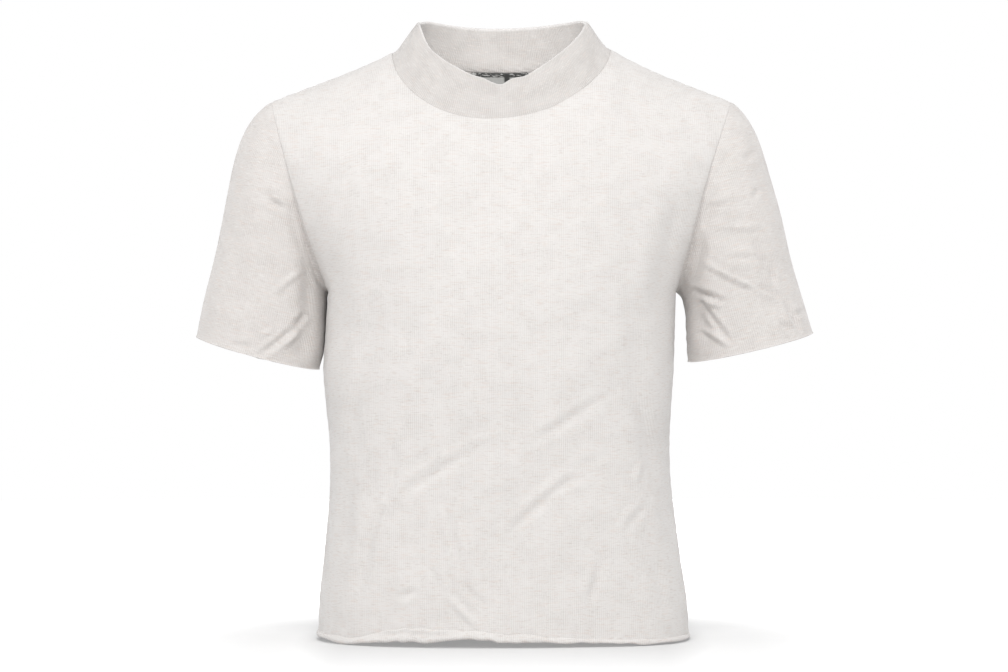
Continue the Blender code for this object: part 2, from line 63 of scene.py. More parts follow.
# How far the middle of the front and of the back stand from the side seams, and how
# square the sections are (2 is an ellipse), from the hem to above the neck.
DEPTHS = (
    # height, front,  back,   squareness
    (-0.5090, 0.1110, 0.0950, 2.45),
    (-0.4300, 0.1110, 0.0900, 2.45),
    (-0.3500, 0.1130, 0.0880, 2.40),
    (-0.2700, 0.1180, 0.0940, 2.35),
    (-0.2090, 0.1180, 0.0990, 2.30),
    (-0.1500, 0.1110, 0.1010, 2.30),
    (-0.1000, 0.1000, 0.0970, 2.30),
    (-0.0600, 0.0875, 0.0900, 2.30),
    (-0.0150, 0.0760, 0.0790, 2.30),
    (0.0300, 0.0680, 0.0700, 2.30),
)
UNDERARM = WIDTHS[-1][0]
HEM = WIDTHS[0][0]
PANELS = {"front": (1, -1.0), "back": (2, 1.0)}  # column of DEPTHS, and side of Y

NECK_HALF_WIDTH = {"right": 0.0970, "left": 0.0932}  # middle to the shoulder's high point
NECK_RISE = {"right": 0.0, "left": 0.0031}  # how much higher that point sits
SIDE_BLEND = 0.030  # inside the neck the two sides pass into each other over this much of x
SHOULDER_TIP = {"right": 0.2025, "left": 0.1985}  # middle to the top of the armhole
SHOULDER_DROP = 0.0432
SHOULDER_SAG = 0.012  # how much the shoulder line hollows beside the neck
FRONT_NECK_DROP = 0.0614
BACK_NECK_DROP = 0.0118
# How much higher the front neckline hangs than a half ellipse, for it is dragged to the
# wearer's right.
NECK_LEAN = (
    # share across, height
    (-1.00, 0.0000),
    (-0.75, -0.0019),
    (-0.50, -0.0027),
    (-0.25, -0.0019),
    (0.00, 0.0000),
    (0.33, 0.0026),
    (0.45, 0.0034),
    (0.55, 0.0050),
    (0.65, 0.0062),
    (0.75, 0.0068),
    (0.85, 0.0073),
    (0.93, 0.0066),
    (0.98, 0.0050),
    (1.00, 0.0031),
)
SHOULDER_ROLL = 0.110  # height over which the cloth rolls over the shoulder
NECK_SHARE = 0.5  # share of a panel's top edge, from its middle, that is neckline
SHOULDER_ROWS = (0.22, 0.30)  # the rows crowd to the shoulder seam from here, over this much
TOP_BEND = 0.62  # how much more evenly the columns are spread at the top, in radians
UNDERARM_EASE = 0.045  # height over which the chest's width is averaged
EDGE_POWER = 10  # how close to the panel's edge that averaging keeps off
ARMHOLE_DEPTH = {"front": 0.0540, "back": 0.0500}
ARMHOLE_HOLLOW = {"right": -0.0020, "left": 0.0030}  # in from a straight line
ARMHOLE_EGG = (0.50, 0.52)  # powers that round the armhole's lower and its upper end

PANEL_COLUMNS = 264
PANEL_ROWS = (150, 102)  # hem to underarm, underarm to top edge
PANEL_CROWD = (
    # how much closer they stand at the start and at the end, and within what share
    (16.0, 16.0, 0.004),  # columns
    (1.0, 0.0, 0.03),  # rows, hem to underarm
    (0.0, 8.0, 0.008),  # rows, underarm to top edge
)
ROLL_ROWS = 24
UV_LAYERS = ("cloth", "seam")  # place on the flat cloth, distances to a seam and an edge

# The raw edge of the front, from the wearer's right to the left.
FRONT_ROLL = (
    # x,     lowest point, half height, half depth
    (-0.1640, -0.5085, 0.0020, 0.0010),
    (-0.1500, -0.5098, 0.0023, 0.0016),
    (-0.1340, -0.5110, 0.0027, 0.0019),
    (-0.1100, -0.5090, 0.0042, 0.0022),
    (-0.0850, -0.5075, 0.0064, 0.0025),
    (-0.0600, -0.5080, 0.0056, 0.0024),
    (-0.0430, -0.5057, 0.0048, 0.0022),
    (-0.0200, -0.5051, 0.0036, 0.0020),
    (0.0000, -0.5077, 0.0044, 0.0023),
    (0.0200, -0.5077, 0.0036, 0.0021),
    (0.0430, -0.5080, 0.0021, 0.0013),
    (0.0710, -0.5084, 0.0018, 0.0011),
    (0.0970, -0.5092, 0.0018, 0.0011),
    (0.1240, -0.5108, 0.0020, 0.0012),
    (0.1640, -0.5100, 0.0016, 0.0008),
)

# Creases of the front. A negative height is a trough and a positive one a ridge. Each
# runs from its first point through its second to its third, as seen from the front.
FRONT_CREASES = (
    # x,     z,       through x, z,       to x,    z,       width,  height
    (-0.0905, -0.3428, -0.0956, -0.3700, -0.1015, -0.3895, 0.0040, -0.0020),
    (-0.1015, -0.3895, -0.1125, -0.4209, -0.1278, -0.4821, 0.0055, -0.0020),
    (-0.0888, -0.3776, -0.1024, -0.4039, -0.1151, -0.4430, 0.0040, 0.0015),
    (-0.0964, -0.3844, -0.0709, -0.3606, -0.0352, -0.3419, 0.0036, 0.0010),
    (-0.0412, -0.3462, -0.0242, -0.3368, -0.0055, -0.3283, 0.0034, 0.0006),
    (-0.0845, -0.3818, -0.0573, -0.3649, -0.0284, -0.3462, 0.0034, -0.0009),
    (0.0191, -0.3402, 0.0548, -0.3190, 0.1024, -0.2893, 0.0038, -0.0008),
    (0.0149, -0.3360, 0.0480, -0.3130, 0.0871, -0.2918, 0.0054, 0.0005),
    (-0.0047, -0.4158, 0.0242, -0.3869, 0.0718, -0.3487, 0.0038, 0.0009),
    (0.0038, -0.4175, 0.0353, -0.3869, 0.0820, -0.3547, 0.0036, -0.0008),
    (0.0480, -0.3649, 0.0684, -0.3555, 0.0905, -0.3479, 0.0034, -0.0006),
    (0.0820, -0.4294, 0.0794, -0.4549, 0.0709, -0.4744, 0.0038, -0.0013),
    (0.0752, -0.4379, 0.0718, -0.4549, 0.0650, -0.4702, 0.0038, 0.0008),
    (0.0964, -0.4133, 0.1066, -0.3988, 0.1202, -0.3835, 0.0036, 0.0007),
    (0.1041, -0.4192, 0.1126, -0.4039, 0.1245, -0.3920, 0.0034, -0.0006),
    (-0.0463, -0.4685, -0.0344, -0.4821, -0.0233, -0.4931, 0.0030, 0.0023),
    (-0.0352, -0.4549, -0.0267, -0.4668, -0.0166, -0.4770, 0.0034, -0.0013),
    (-0.0480, -0.3912, -0.0412, -0.4252, -0.0318, -0.4583, 0.0036, -0.0016),
    (-0.0531, -0.3920, -0.0480, -0.4124, -0.0403, -0.4447, 0.0034, 0.0012),
    (-0.0599, -0.4422, -0.0573, -0.4549, -0.0539, -0.4693, 0.0030, -0.0015),
    (-0.0888, -0.4710, -0.0811, -0.4668, -0.0735, -0.4626, 0.0030, -0.0014),
    (0.1092, -0.2782, 0.1245, -0.3360, 0.1347, -0.3784, 0.0075, -0.0022),
    (0.1347, -0.3784, 0.1398, -0.3954, 0.1474, -0.4252, 0.0050, -0.0016),
    (0.1185, -0.3538, 0.1151, -0.3632, 0.1109, -0.3751, 0.0032, 0.0011),
    (-0.1219, -0.2782, -0.1270, -0.3105, -0.1304, -0.3487, 0.0070, -0.0018),
    (-0.0981, -0.2893, -0.0956, -0.3147, -0.0964, -0.3360, 0.0075, 0.0009),
    (-0.1083, -0.2085, -0.1159, -0.2510, -0.1219, -0.2935, 0.0085, -0.0016),
    (0.1058, -0.2085, 0.1126, -0.2468, 0.1177, -0.2893, 0.0085, -0.0016),
    (-0.1312, -0.3615, -0.1346, -0.4039, -0.1389, -0.4379, 0.0060, -0.0014),
    (0.1287, -0.4379, 0.1347, -0.4634, 0.1398, -0.4846, 0.0055, -0.0012),
    (0.1600, -0.1250, 0.1420, -0.1750, 0.1360, -0.2350, 0.0110, -0.0030),
    (-0.1560, -0.1700, -0.1420, -0.2100, -0.1400, -0.2600, 0.0100, -0.0016),
)

# Broad unevenness of the worn cloth: waves per metre across and up, height, shift.
FRONT_WAVES = (
    # across, up,   height,  shift
    (5.3, 3.1, 0.00055, 0.7),
    (-8.7, 5.9, 0.00040, 2.2),
    (13.1, -9.7, 0.00025, 4.1),
    (-6.1, 15.3, 0.00022, 5.2),
    (19.7, 11.3, 0.00014, 1.1),
)

ROLL_PRESS = 0.72  # how far the roll's cut edge is pressed back to the cloth
ROLL_SCALLOP = 0.0007  # height of the small waves along the roll
SCALLOP_WAVES = (290, 2.2, 71, 47)  # those waves, how they wander, and the slow ones on them
ROLL_TURN = (238, 16, 61, 12, 143)  # degrees it curls round, and two waves on that
ROLL_DENT = (0.75, 0.0036, 0.0020, 186, 17)  # share, half height from and over, place, width
ROLL_STEP = 0.0005  # cloth between the roll's last row and the panel's first
CREASE_REACH = 4.5  # in widths, how far out from its line a crease is worked out
CREASE_LIP = (0.30, 1.9, 0.9)  # the lip's share of the height, its place and its width
CREASE_SWELL = 0.8  # how quickly a crease swells and fades along its line
CREASE_FACING = 1.6  # how quickly it comes in on what faces the same way
CREASE_FADE = (0.03, 1.5)  # creases and waves fade this near to a panel's edge, and how
SEAM_DIP = (0.00025, 0.0010)  # how deep the cloth is drawn in at a seam, and how near to it
SEAM_FLAT = (-0.170, -0.080)  # the armhole's seam lies flat below, and is drawn in above
SEAM_PUFF = (0.0002, 0.0045)  # how high it stands beside the seam, and how far away
SEAM_PUCKER = (0.00030, 0.0135, 0.0070)  # height, length along the seam, reach


def unit(vectors):
    """The same directions with length 1."""
    return vectors / np.linalg.norm(vectors, axis=-1, keepdims=True)


def through(table, column, at):
    """A smooth curve through one column of a table, against the table's first column.

    Between two rows it is the cubic whose slopes are those of the rows on each side.
    """
    rows = np.array(table)
    knots, values = rows[:, 0], rows[:, column]
    slopes = np.gradient(values, knots)
    low = np.clip(np.searchsorted(knots, at) - 1, 0, len(knots) - 2)
    step = knots[low + 1] - knots[low]
    t = np.clip((at - knots[low]) / step, 0.0, 1.0)
    from_low = (1 + 2 * t) * (1 - t) ** 2 * values[low] + t * (1 - t) ** 2 * step * slopes[low]
    from_high = t**2 * (3 - 2 * t) * values[low + 1] - t**2 * (1 - t) * step * slopes[low + 1]
    return from_low + from_high


def by_side(x, right, left):
    """The right-hand value where x is negative, and the left-hand one elsewhere."""
    return np.where(x < 0, right, left)


def smooth(share):
    """0 below 0, 1 above 1, and 3 t^2 - 2 t^3 between them."""
    share = np.clip(share, 0.0, 1.0)
    return share**2 * (3 - 2 * share)


def bell(share):
    """e^(-t^2): 1 at 0, and next to nothing beyond 2 on either side."""
    return np.exp(-(share**2))


def crowded(count, first, last, reach):
    """count + 1 shares from 0 to 1, set closer near the ends.

    Their density is 1 + first * e^(-t / reach) + last * e^(-(1 - t) / reach).
    """
    t = np.linspace(0.0, 1.0, 4001)
    density = 1 + first * np.exp(-t / reach) + last * np.exp(-(1 - t) / reach)
    total = np.concatenate([[0.0], np.cumsum((density[1:] + density[:-1]) / 2)])
    return np.interp(np.linspace(0.0, total[-1], count + 1), total, t)


def armhole_line(side, share):
    """Where the armhole is, seen from the front, at a share of its height: x and z."""
    underarm = by_side(side, WIDTHS[-1][1], WIDTHS[-1][2])
    tip = by_side(side, SHOULDER_TIP["right"], SHOULDER_TIP["left"])
    hollow = by_side(side, ARMHOLE_HOLLOW["right"], ARMHOLE_HOLLOW["left"])
    x = underarm + (tip - underarm) * share - hollow * np.sin(np.pi * share)
    return side * x, UNDERARM + (-SHOULDER_DROP - UNDERARM) * share


def egg(share):
    """The armhole's half-depth at a share of its height, as a share of its largest."""
    low, high = ARMHOLE_EGG
    peak = low / (low + high)
    return share**low * (1 - share) ** high / (peak**low * (1 - peak) ** high)


def shoulder_line(x):
    """Height of the shoulder seam at x. Inside the neck it runs on as a smooth arch."""
    side = smooth((x / SIDE_BLEND + 1) / 2)
    tip, neck, rise = (
        size["right"] + (size["left"] - size["right"]) * side
        for size in (SHOULDER_TIP, NECK_HALF_WIDTH, NECK_RISE)
    )
    share = (np.abs(x) - neck) / (tip - neck)
    arch = (x**2 - neck**2) / (2 * neck) / (tip - neck)
    inside = np.clip(share, 0.0, 1.0)
    line = -SHOULDER_DROP * share - SHOULDER_SAG * inside * (1 - inside) ** 2
    return np.where(share < 0, rise - SHOULDER_DROP * arch, line + rise * (1 - inside) ** 3)


def roll_over(x, z):
    """How far the cloth has come down from the shoulder seam, from 0 to 1."""
    down = np.clip((shoulder_line(x) - z) / SHOULDER_ROLL, 0.0, 1.0)
    return np.sqrt(1 - (1 - down) ** 2)


def half_width(side, z, panel):
    """Half-width of the level section at z, which WIDTHS gives up to the underarm.

    Above it, it is the width that takes the section through the armhole's edge:
    x / (1 - (y / depth)^n)^(1 / n), with the egg's own x and y at that height.
    """
    n, depth = through(DEPTHS, 3, z), through(DEPTHS, PANELS[panel][0], z)
    low_width = by_side(side, through(WIDTHS, 1, z), through(WIDTHS, 2, z))
    share = np.clip((z - UNDERARM) / (-SHOULDER_DROP - UNDERARM), 0.0, 0.96)
    edge_x, edge_z = armhole_line(side, share)
    part = ARMHOLE_DEPTH[panel] * egg(share) / (depth * roll_over(edge_x, edge_z))
    part = np.clip(part, 0.0, 0.95)
    return np.where(z > UNDERARM, np.abs(edge_x) / (1 - part**n) ** (1 / n), low_width)


def section(x, z, width, panel):
    """Depth of a panel's level section: |x / width|^n + |y / depth|^n = 1, rolled over."""
    column, sign = PANELS[panel]
    n, depth = through(DEPTHS, 3, z), through(DEPTHS, column, z)
    across = np.clip(np.abs(x) / width, 0.0, 1.0)
    return sign * depth * (1 - across**n) ** (1 / n) * roll_over(x, z)


def top_edge(u, panel):
    """x and z of a panel's top edge: a half ellipse at the neck, then the shoulders."""
    drop = FRONT_NECK_DROP if panel == "front" else BACK_NECK_DROP
    angle = np.pi / 2 * np.clip(np.abs(u) / NECK_SHARE, 0.0, 1.0)
    along = np.clip((np.abs(u) - NECK_SHARE) / (1 - NECK_SHARE), 0.0, 1.0)
    tip = by_side(u, SHOULDER_TIP["right"], SHOULDER_TIP["left"])
    neck = by_side(u, NECK_HALF_WIDTH["right"], NECK_HALF_WIDTH["left"])
    x = np.sign(u) * (neck * np.sin(angle) + (tip - neck) * along)
    if panel == "front":
        lean = through(NECK_LEAN, 1, np.sign(u) * np.sin(angle))
    else:
        lean = by_side(u, NECK_RISE["right"], NECK_RISE["left"]) * np.sin(angle) ** 4
    return x, np.where(along > 0, shoulder_line(x), lean - drop * np.cos(angle))


def panel_points(panel, u, v, bottom=HEM):
    """Points of the smooth front or back. u runs from -1 to 1 between its two edges.

    v is -1 at the bottom, 0 at the underarm and 1 at the top edge. Below the underarm
    x is width * sin(u * 90 degrees). Above it each column climbs to its own place on
    the top edge. The depth is that of the level section, whose width is averaged over
    a hand's breadth of height round the underarm.
    """
    u, v = np.broadcast_arrays(u, v)
    side = by_side(u, -1.0, 1.0)
    z_low = UNDERARM + (UNDERARM - bottom) * np.minimum(v, 0.0)
    x_low = half_width(side, np.minimum(z_low, UNDERARM), panel) * np.sin(np.pi / 2 * u)

    high = np.maximum(v, 0.0)
    bunched = smooth((np.abs(u) - SHOULDER_ROWS[0]) / SHOULDER_ROWS[1])
    climb = (1 - bunched) * high + bunched * (1 - np.cos(np.pi * high)) / 2
    edge_x, _ = armhole_line(side, climb)
    tip_x, _ = armhole_line(side, 1.0)
    x_top, z_top = top_edge(u, panel)
    bend, bend_top = np.pi / 2 - TOP_BEND * climb, np.pi / 2 - TOP_BEND
    spread = np.sin(bend * np.abs(u)) / np.sin(bend)
    spread_top = np.sin(bend_top * np.abs(u)) / np.sin(bend_top)
    x_high = edge_x * spread + climb**2 * (x_top - tip_x * spread_top)

    x = np.where(v > 0, x_high, x_low)
    z = np.where(v > 0, UNDERARM + (z_top - UNDERARM) * climb, z_low)
    width = half_width(side, z, panel)
    steps = np.linspace(-UNDERARM_EASE, UNDERARM_EASE, 9)
    eased = sum(half_width(side, z + step, panel) for step in steps) / len(steps)
    near = bell((z - UNDERARM) / UNDERARM_EASE) * (1 - np.abs(u) ** EDGE_POWER)
    width = width + (eased - width) * near
    return np.stack([x, section(x, z, width, panel), z], axis=-1)


def laid_flat(points, panel):
    """Where each point lies on the cloth before it is sewn: metres across and up.

    Across is the length of the level section from the middle, and up is the height
    above the hem plus what the cloth gains where it rolls over the shoulder.
    """
    x, z = points[..., 0], points[..., 2]
    side = by_side(x, -1.0, 1.0)
    across, up = np.zeros_like(x), z - HEM
    last_x, last_y = np.zeros_like(x), section(0.0 * x, z, half_width(side, z, panel), panel)
    for share in np.sin(np.pi / 2 * np.linspace(0.0, 1.0, 25))[1:]:
        y = section(x * share, z, half_width(side, z, panel), panel)
        across = across + np.hypot(x * share - last_x, y - last_y)
        last_x, last_y = x * share, y
    base = np.minimum(z, UNDERARM)
    x = np.clip(x, -WIDTHS[-1][1] * 0.9, WIDTHS[-1][2] * 0.9)
    last_z, last_y = base, section(x, base, half_width(side, base, panel), panel)
    for share in np.sin(np.pi / 2 * np.linspace(0.0, 1.0, 25))[1:]:
        level = base + (z - base) * share
        y = section(x, level, half_width(side, level, panel), panel)
        up = up + np.hypot(level - last_z, y - last_y) - (level - last_z)
        last_z, last_y = level, y
    return side * across, up


def grid_normals(points, closed):
    """Unit normals of a grid of points; closed means that the last column meets the first."""
    if closed:
        padded = np.concatenate([points[:, -1:], points, points[:, :1]], axis=1)
        across = np.gradient(padded, axis=1)[:, 1:-1]
    else:
        across = np.gradient(points, axis=1)
    return unit(np.cross(across, np.gradient(points, axis=0)))


def run_of(points, axis):
    """Length along the rows or columns of a grid, from 0 at the start of each."""
    steps = np.linalg.norm(np.diff(points, axis=axis), axis=-1)
    start = np.zeros_like(np.take(steps, [0], axis=axis))
    return np.cumsum(np.concatenate([start, steps], axis=axis), axis=axis)


def creases_at(points, table, facing):
    """Height of the creases at each point, seen along Y.

    Each follows the parabola through its three points. Across it stands a bell with a
    low lip on each side, and along it the height swells and fades. facing takes a
    crease off what is turned away.
    """
    height = np.zeros(points.shape[:-1])
    seen = points[..., [0, 2]]
    lip, lip_at, lip_width = CREASE_LIP
    share = np.linspace(0.0, 1.0, 41)[:, None]
    for x0, z0, xm, zm, x1, z1, width, rise in table:
        start, middle, end = np.array([[x0, z0], [xm, zm], [x1, z1]])
        bend = 2 * middle - (start + end) / 2
        line = (1 - share) ** 2 * start + 2 * share * (1 - share) * bend + share**2 * end
        way = unit(np.gradient(line, axis=0))
        length = np.linalg.norm(np.diff(line, axis=0), axis=-1).sum()
        reach = CREASE_REACH * width
        low, high = line.min(axis=0) - reach, line.max(axis=0) + reach
        close = np.all((seen > low) & (seen < high), axis=-1)
        offset = seen[close][:, None, :] - line[None]
        nearest = np.argmin((offset**2).sum(axis=-1), axis=1)
        offset = offset[np.arange(len(nearest)), nearest]
        ahead = way[nearest]
        along = share[nearest, 0] + (offset * ahead).sum(axis=-1) / length
        across = np.abs(offset[:, 0] * ahead[:, 1] - offset[:, 1] * ahead[:, 0]) / width
        profile = bell(across) - lip * bell((across - lip_at) / lip_width)
        swell = np.sin(np.pi * np.clip(along, 0.0, 1.0)) ** CREASE_SWELL
        height[close] += rise * profile * swell
    return height * np.clip(facing * CREASE_FACING, 0.0, 1.0)


def waves_at(points, table):
    """Broad unevenness: sines of x and z, each with its own wave numbers and shift."""
    x, z = points[..., 0], points[..., 2]
    return sum(
        high * np.sin(2 * np.pi * (across * x + up * z) + shift)
        for across, up, high, shift in table
    )


def seam_relief(distance, along, drawn=1.0):
    """What a seam does to the cloth beside it: a drawn-in line, a low puff and puckers.

    drawn is the share of that line that shows, for a seam can lie quite flat.
    """
    dip, near = SEAM_DIP
    puff, away = SEAM_PUFF
    pucker, length, reach = SEAM_PUCKER
    turn = 2 * np.pi * along / length
    uneven = np.sin(turn + 1.3 * np.sin(turn * 0.31)) * np.exp(-distance / reach)
    return (
        -dip * drawn * bell(distance / near)
        + puff * bell((distance - away) / away)
        + pucker * uneven * (1 - bell(distance / near))
    )


def drawn_at(z):
    """How much of an armhole's drawn-in line shows at a height, from 0 to 1."""
    return smooth((z - SEAM_FLAT[0]) / (SEAM_FLAT[1] - SEAM_FLAT[0]))


def make_wall(name, outer, inner, flat, seam, closed, material):
    """One closed body of cloth between two grids of points, with a rim at each free edge.

    The inner wall uses every second row and column, so both counts of quads are even.
    flat gives each corner its place on the flat cloth, and seam its distances to the
    nearest seam and to the free edge. On a closed ring both have one column more than
    the points.
    """
    rows, columns = outer.shape[:2]
    count = rows * columns
    at = np.arange(count).reshape(rows, columns)
    if closed:
        at = np.concatenate([at, at[:, :1]], axis=1)
    spot = np.arange(at.size).reshape(at.shape)

    def faces_of(grid, other):
        def skin(part):
            corners = [part[:-1, :-1], part[:-1, 1:], part[1:, 1:], part[1:, :-1]]
            return np.stack(corners, axis=-1).reshape(-1, 4)

        def rim(edge):
            far = edge + other
            corners = [edge[2::2], edge[1::2], edge[:-2:2], far[:-2:2], far[2::2]]
            return np.stack(corners, axis=-1)

        rims = [rim(grid[0]), rim(grid[-1, ::-1])]
        if not closed:
            rims += [rim(grid[::-1, 0]), rim(grid[:, -1])]
        walls = np.concatenate([skin(grid), skin(grid[::2, ::2])[:, ::-1] + other])
        return walls, np.concatenate(rims)

    walls, rims = faces_of(at, count)
    corners = np.concatenate([part.ravel() for part in faces_of(spot, 0)])
    points = np.concatenate([outer.reshape(-1, 3), inner.reshape(-1, 3)])
    used, place = np.unique(np.concatenate([walls.ravel(), rims.ravel()]), return_inverse=True)
    walls, rims = place[: walls.size].reshape(-1, 4), place[walls.size :].reshape(-1, 5)
    mesh = bpy.data.meshes.new(name)
    mesh.from_pydata(points[used].tolist(), [], walls.tolist() + rims.tolist())
    for layer, values in zip(UV_LAYERS, (flat, seam)):
        values = values.reshape(-1, 2)[corners].ravel()
        mesh.uv_layers.new(name=layer).data.foreach_set("uv", values)
    mesh.materials.append(material)
    mesh.shade_smooth()
    piece = bpy.data.objects.new(name, mesh)
    bpy.context.scene.collection.objects.link(piece)
    return piece


def hem_roll(edge, normals, table, sign):
    """Middle line and normals of the curled raw edge, from its free end to the cloth.

    The cloth goes round an oval: out by depth * (1 - cos a) and down by height * sin a.
    a runs from 0 at the cloth to about 240 degrees at the free end, more and less
    along the hem. Where the roll is tall, its face is dented in the middle. Its free
    end is pressed back to the cloth, and small waves scallop it along the hem.
    """
    x = edge[:, 0]
    fine, wander, long, slow = SCALLOP_WAVES
    scallop = np.sin(fine * x + wander * np.sin(long * x)) * np.sin(slow * x + sign)
    tall, deep = through(table, 2, x) + ROLL_SCALLOP * scallop, through(table, 3, x)
    out = unit(normals * np.array([1.0, 1.0, 0.0]))
    turned, high, wave, high_2, wave_2 = ROLL_TURN
    ends = turned + high * np.sin(wave * x + sign) + high_2 * np.sin(wave_2 * x + 2 * sign)
    ends = np.radians(ends)
    share = np.linspace(1.0, 0.0, ROLL_ROWS + 1)[:-1, None]
    angle = share * ends
    most, tall_from, tall_over, place, width = ROLL_DENT
    dent = most * np.clip((tall - tall_from) / tall_over, 0.0, 1.0)
    dent = 1 - dent * bell((np.degrees(angle) - place) / width)
    away = deep * (1 - np.cos(angle)) * dent * (1 - ROLL_PRESS * share**4)
    down = tall * np.sin(angle)
    up_way = np.array([0.0, 0.0, 1.0])
    middle = edge + away[..., None] * out - down[..., None] * up_way
    facing = (tall * np.cos(angle))[..., None] * out + (deep * np.sin(angle))[..., None] * up_way
    return middle, unit(facing)


def neck_rim(points):
    """Directions from the neckline's outer edge to its inner one: inwards and down."""
    middle_y = (BAND_TOP_FRONT + BAND_TOP_BACK) / 2
    plan = points * np.array([1.0, 1.0, 0.0]) - np.array([0.0, middle_y, 0.0])
    return -unit(NECK_RIM[0] * unit(plan) + NECK_RIM[1] * np.array([0.0, 0.0, 1.0]))


def armhole_rim(points, side):
    """Directions from the armhole's outer edge to its inner one: the egg's own normals."""
    low, high = (np.array(armhole_line(side, share)) for share in (0.0, 1.0))
    climb = np.array([high[0] - low[0], 0.0, high[1] - low[1]])
    half = np.linalg.norm(climb) / 2
    climb = climb / (2 * half)
    middle = np.array([(low[0] + high[0]) / 2, 0.0, (low[1] + high[1]) / 2])
    up = (points - middle) @ climb
    out_y = points[..., 1] / ARMHOLE_DEPTH["front"] ** 2
    return -unit(up[..., None] / half**2 * climb + out_y[..., None] * np.array([0.0, 1.0, 0.0]))


def into_seam(inward, rim, distance):
    """Directions of the cloth's thickness, which turn into the seam's own near to it."""
    turn = bell(distance / RIM_REACH)[..., None]
    return unit(inward * (1 - turn) + rim * turn)


BAND_TOP_FRONT, BAND_TOP_BACK = -0.0574, 0.0470  # depth of the neckband's top edge
NECK_RIM = (0.78, 0.62)  # how the neck seam's edge faces: outwards and upwards
RIM_REACH = 0.0040  # how near to a seam the cloth's thickness turns to lie in the seam


def panel_piece(name, panel, hem_table, creases, waves, material):
    """The front or back as one body of cloth, with its roll, creases and seams."""
    sign = PANELS[panel][1]
    u = 2 * crowded(PANEL_COLUMNS, *PANEL_CROWD[0])[None, :] - 1
    low = crowded(PANEL_ROWS[0], *PANEL_CROWD[1]) - 1
    high = crowded(PANEL_ROWS[1], *PANEL_CROWD[2])[1:]
    v = np.concatenate([low, high])[:, None]
    hem_x = half_width(by_side(u, -1.0, 1.0), HEM + 0 * u, panel) * np.sin(np.pi / 2 * u)
    bottom = through(hem_table, 1, hem_x) + through(hem_table, 2, hem_x) + CURLED_CLOTH / 2
    plain = panel_points(panel, u, v, bottom)
    normals = grid_normals(plain, closed=False) * -sign

    run = run_of(plain, 1)
    climb = run_of(plain, 0)
    from_side = np.minimum(run, run[:, -1:] - run)
    from_top = climb[-1:] - climb
    distance = np.minimum(from_side, from_top)
    along = np.where(from_side < from_top, climb, run)

    facing = np.clip(normals[..., 1] * sign, 0.0, 1.0)
    height = creases_at(plain, creases, facing) + waves_at(plain, waves)
    drawn = np.where(from_top < from_side, 1.0, drawn_at(plain[..., 2]))
    height = height * np.clip(distance / CREASE_FADE[0], 0.0, 1.0) ** CREASE_FADE[1]
    height = height + seam_relief(distance, along, drawn)
    outer = plain + normals * height[..., None]
    normals = grid_normals(outer, closed=False) * -sign

    # At a seam the cloth's thickness lies in the seam, so that the two pieces just meet.
    inward = -normals
    keep = len(low)
    edges = np.zeros_like(inward)
    for column, side in ((0, -1.0), (-1, 1.0)):
        slope = np.gradient(plain[:keep, column], axis=0)
        edges[:keep, column] = unit(
            np.stack([-side * slope[:, 2], 0 * slope[:, 1], side * slope[:, 0]], axis=-1)
        )
        edges[keep:, column] = armhole_rim(plain[keep:, column], side)
    half = PANEL_COLUMNS // 2
    sides = [np.repeat(edges[:, :1], half, axis=1)]
    sides += [np.repeat(edges[:, -1:], PANEL_COLUMNS + 1 - half, axis=1)]
    inward = into_seam(inward, np.concatenate(sides, axis=1), from_side)
    slope = np.gradient(plain[-1], axis=0)
    top = unit(np.stack([slope[:, 2], 0 * slope[:, 1], -slope[:, 0]], axis=-1))
    neck = np.abs(u[0]) <= NECK_SHARE
    top[neck] = neck_rim(plain[-1, neck])
    inward = into_seam(inward, top[None], from_top)

    # The hem's roll is laid round its own middle line.
    middle, faces = hem_roll(outer[0] - normals[0] * CLOTH / 2, normals[0], hem_table, sign)
    outer = np.concatenate([middle + faces * CURLED_CLOTH / 2, outer])
    inner = np.concatenate([middle - faces * CURLED_CLOTH / 2, outer[ROLL_ROWS:] + inward * CLOTH])

    across, up = laid_flat(plain, panel)
    curl = run_of(middle, 0)
    up = np.concatenate([curl - curl[-1:] - ROLL_STEP + up[:1], up])
    across = np.concatenate([np.repeat(across[:1], ROLL_ROWS, axis=0), across])
    distance = np.concatenate([np.repeat(from_side[:1], ROLL_ROWS, axis=0), distance])
    flat = np.stack([across, up], axis=-1)
    seam = np.stack([distance, up - up[:1]], axis=-1)
    apart = np.array([0.0, sign * SEAM_GAP / 2, 0.0])
    outer, inner = outer + apart, inner + apart
    if panel == "back":
        outer, inner, flat, seam = (grid[:, ::-1] for grid in (outer, inner, flat, seam))
    return make_wall(name, outer, inner, flat, seam, False, material)


def new_group(name, inputs, outputs):
    """An empty shader node group with named sockets, and what comes into it and goes out."""
    group = bpy.data.node_groups.new(name, "ShaderNodeTree")
    for label, kind, value in inputs:
        socket = group.interface.new_socket(name=label, in_out="INPUT", socket_type=kind)
        if value is not None:
            socket.default_value = value
    for label, kind in outputs:
        group.interface.new_socket(name=label, in_out="OUTPUT", socket_type=kind)
    start, end = group.nodes.new("NodeGroupInput"), group.nodes.new("NodeGroupOutput")
    return group, start.outputs, end.inputs


def new_material(name):
    """A material with its node tree."""
    material = bpy.data.materials.new(name)
    material.use_nodes = True
    return material, material.node_tree


def set_inputs(node, values):
    """Gives a node's inputs their values. Each is a number, a colour or a socket to link."""
    for name, value in dict(values).items():
        if isinstance(value, bpy.types.NodeSocket):
            node.id_data.links.new(value, node.inputs[name])
        else:
            node.inputs[name].default_value = value


def add_node(tree, kind, values=(), **settings):
    """A new node with its settings, and then with its inputs' values."""
    node = tree.nodes.new(kind)
    for name, setting in settings.items():
        setattr(node, name, setting)
    set_inputs(node, values)
    return node


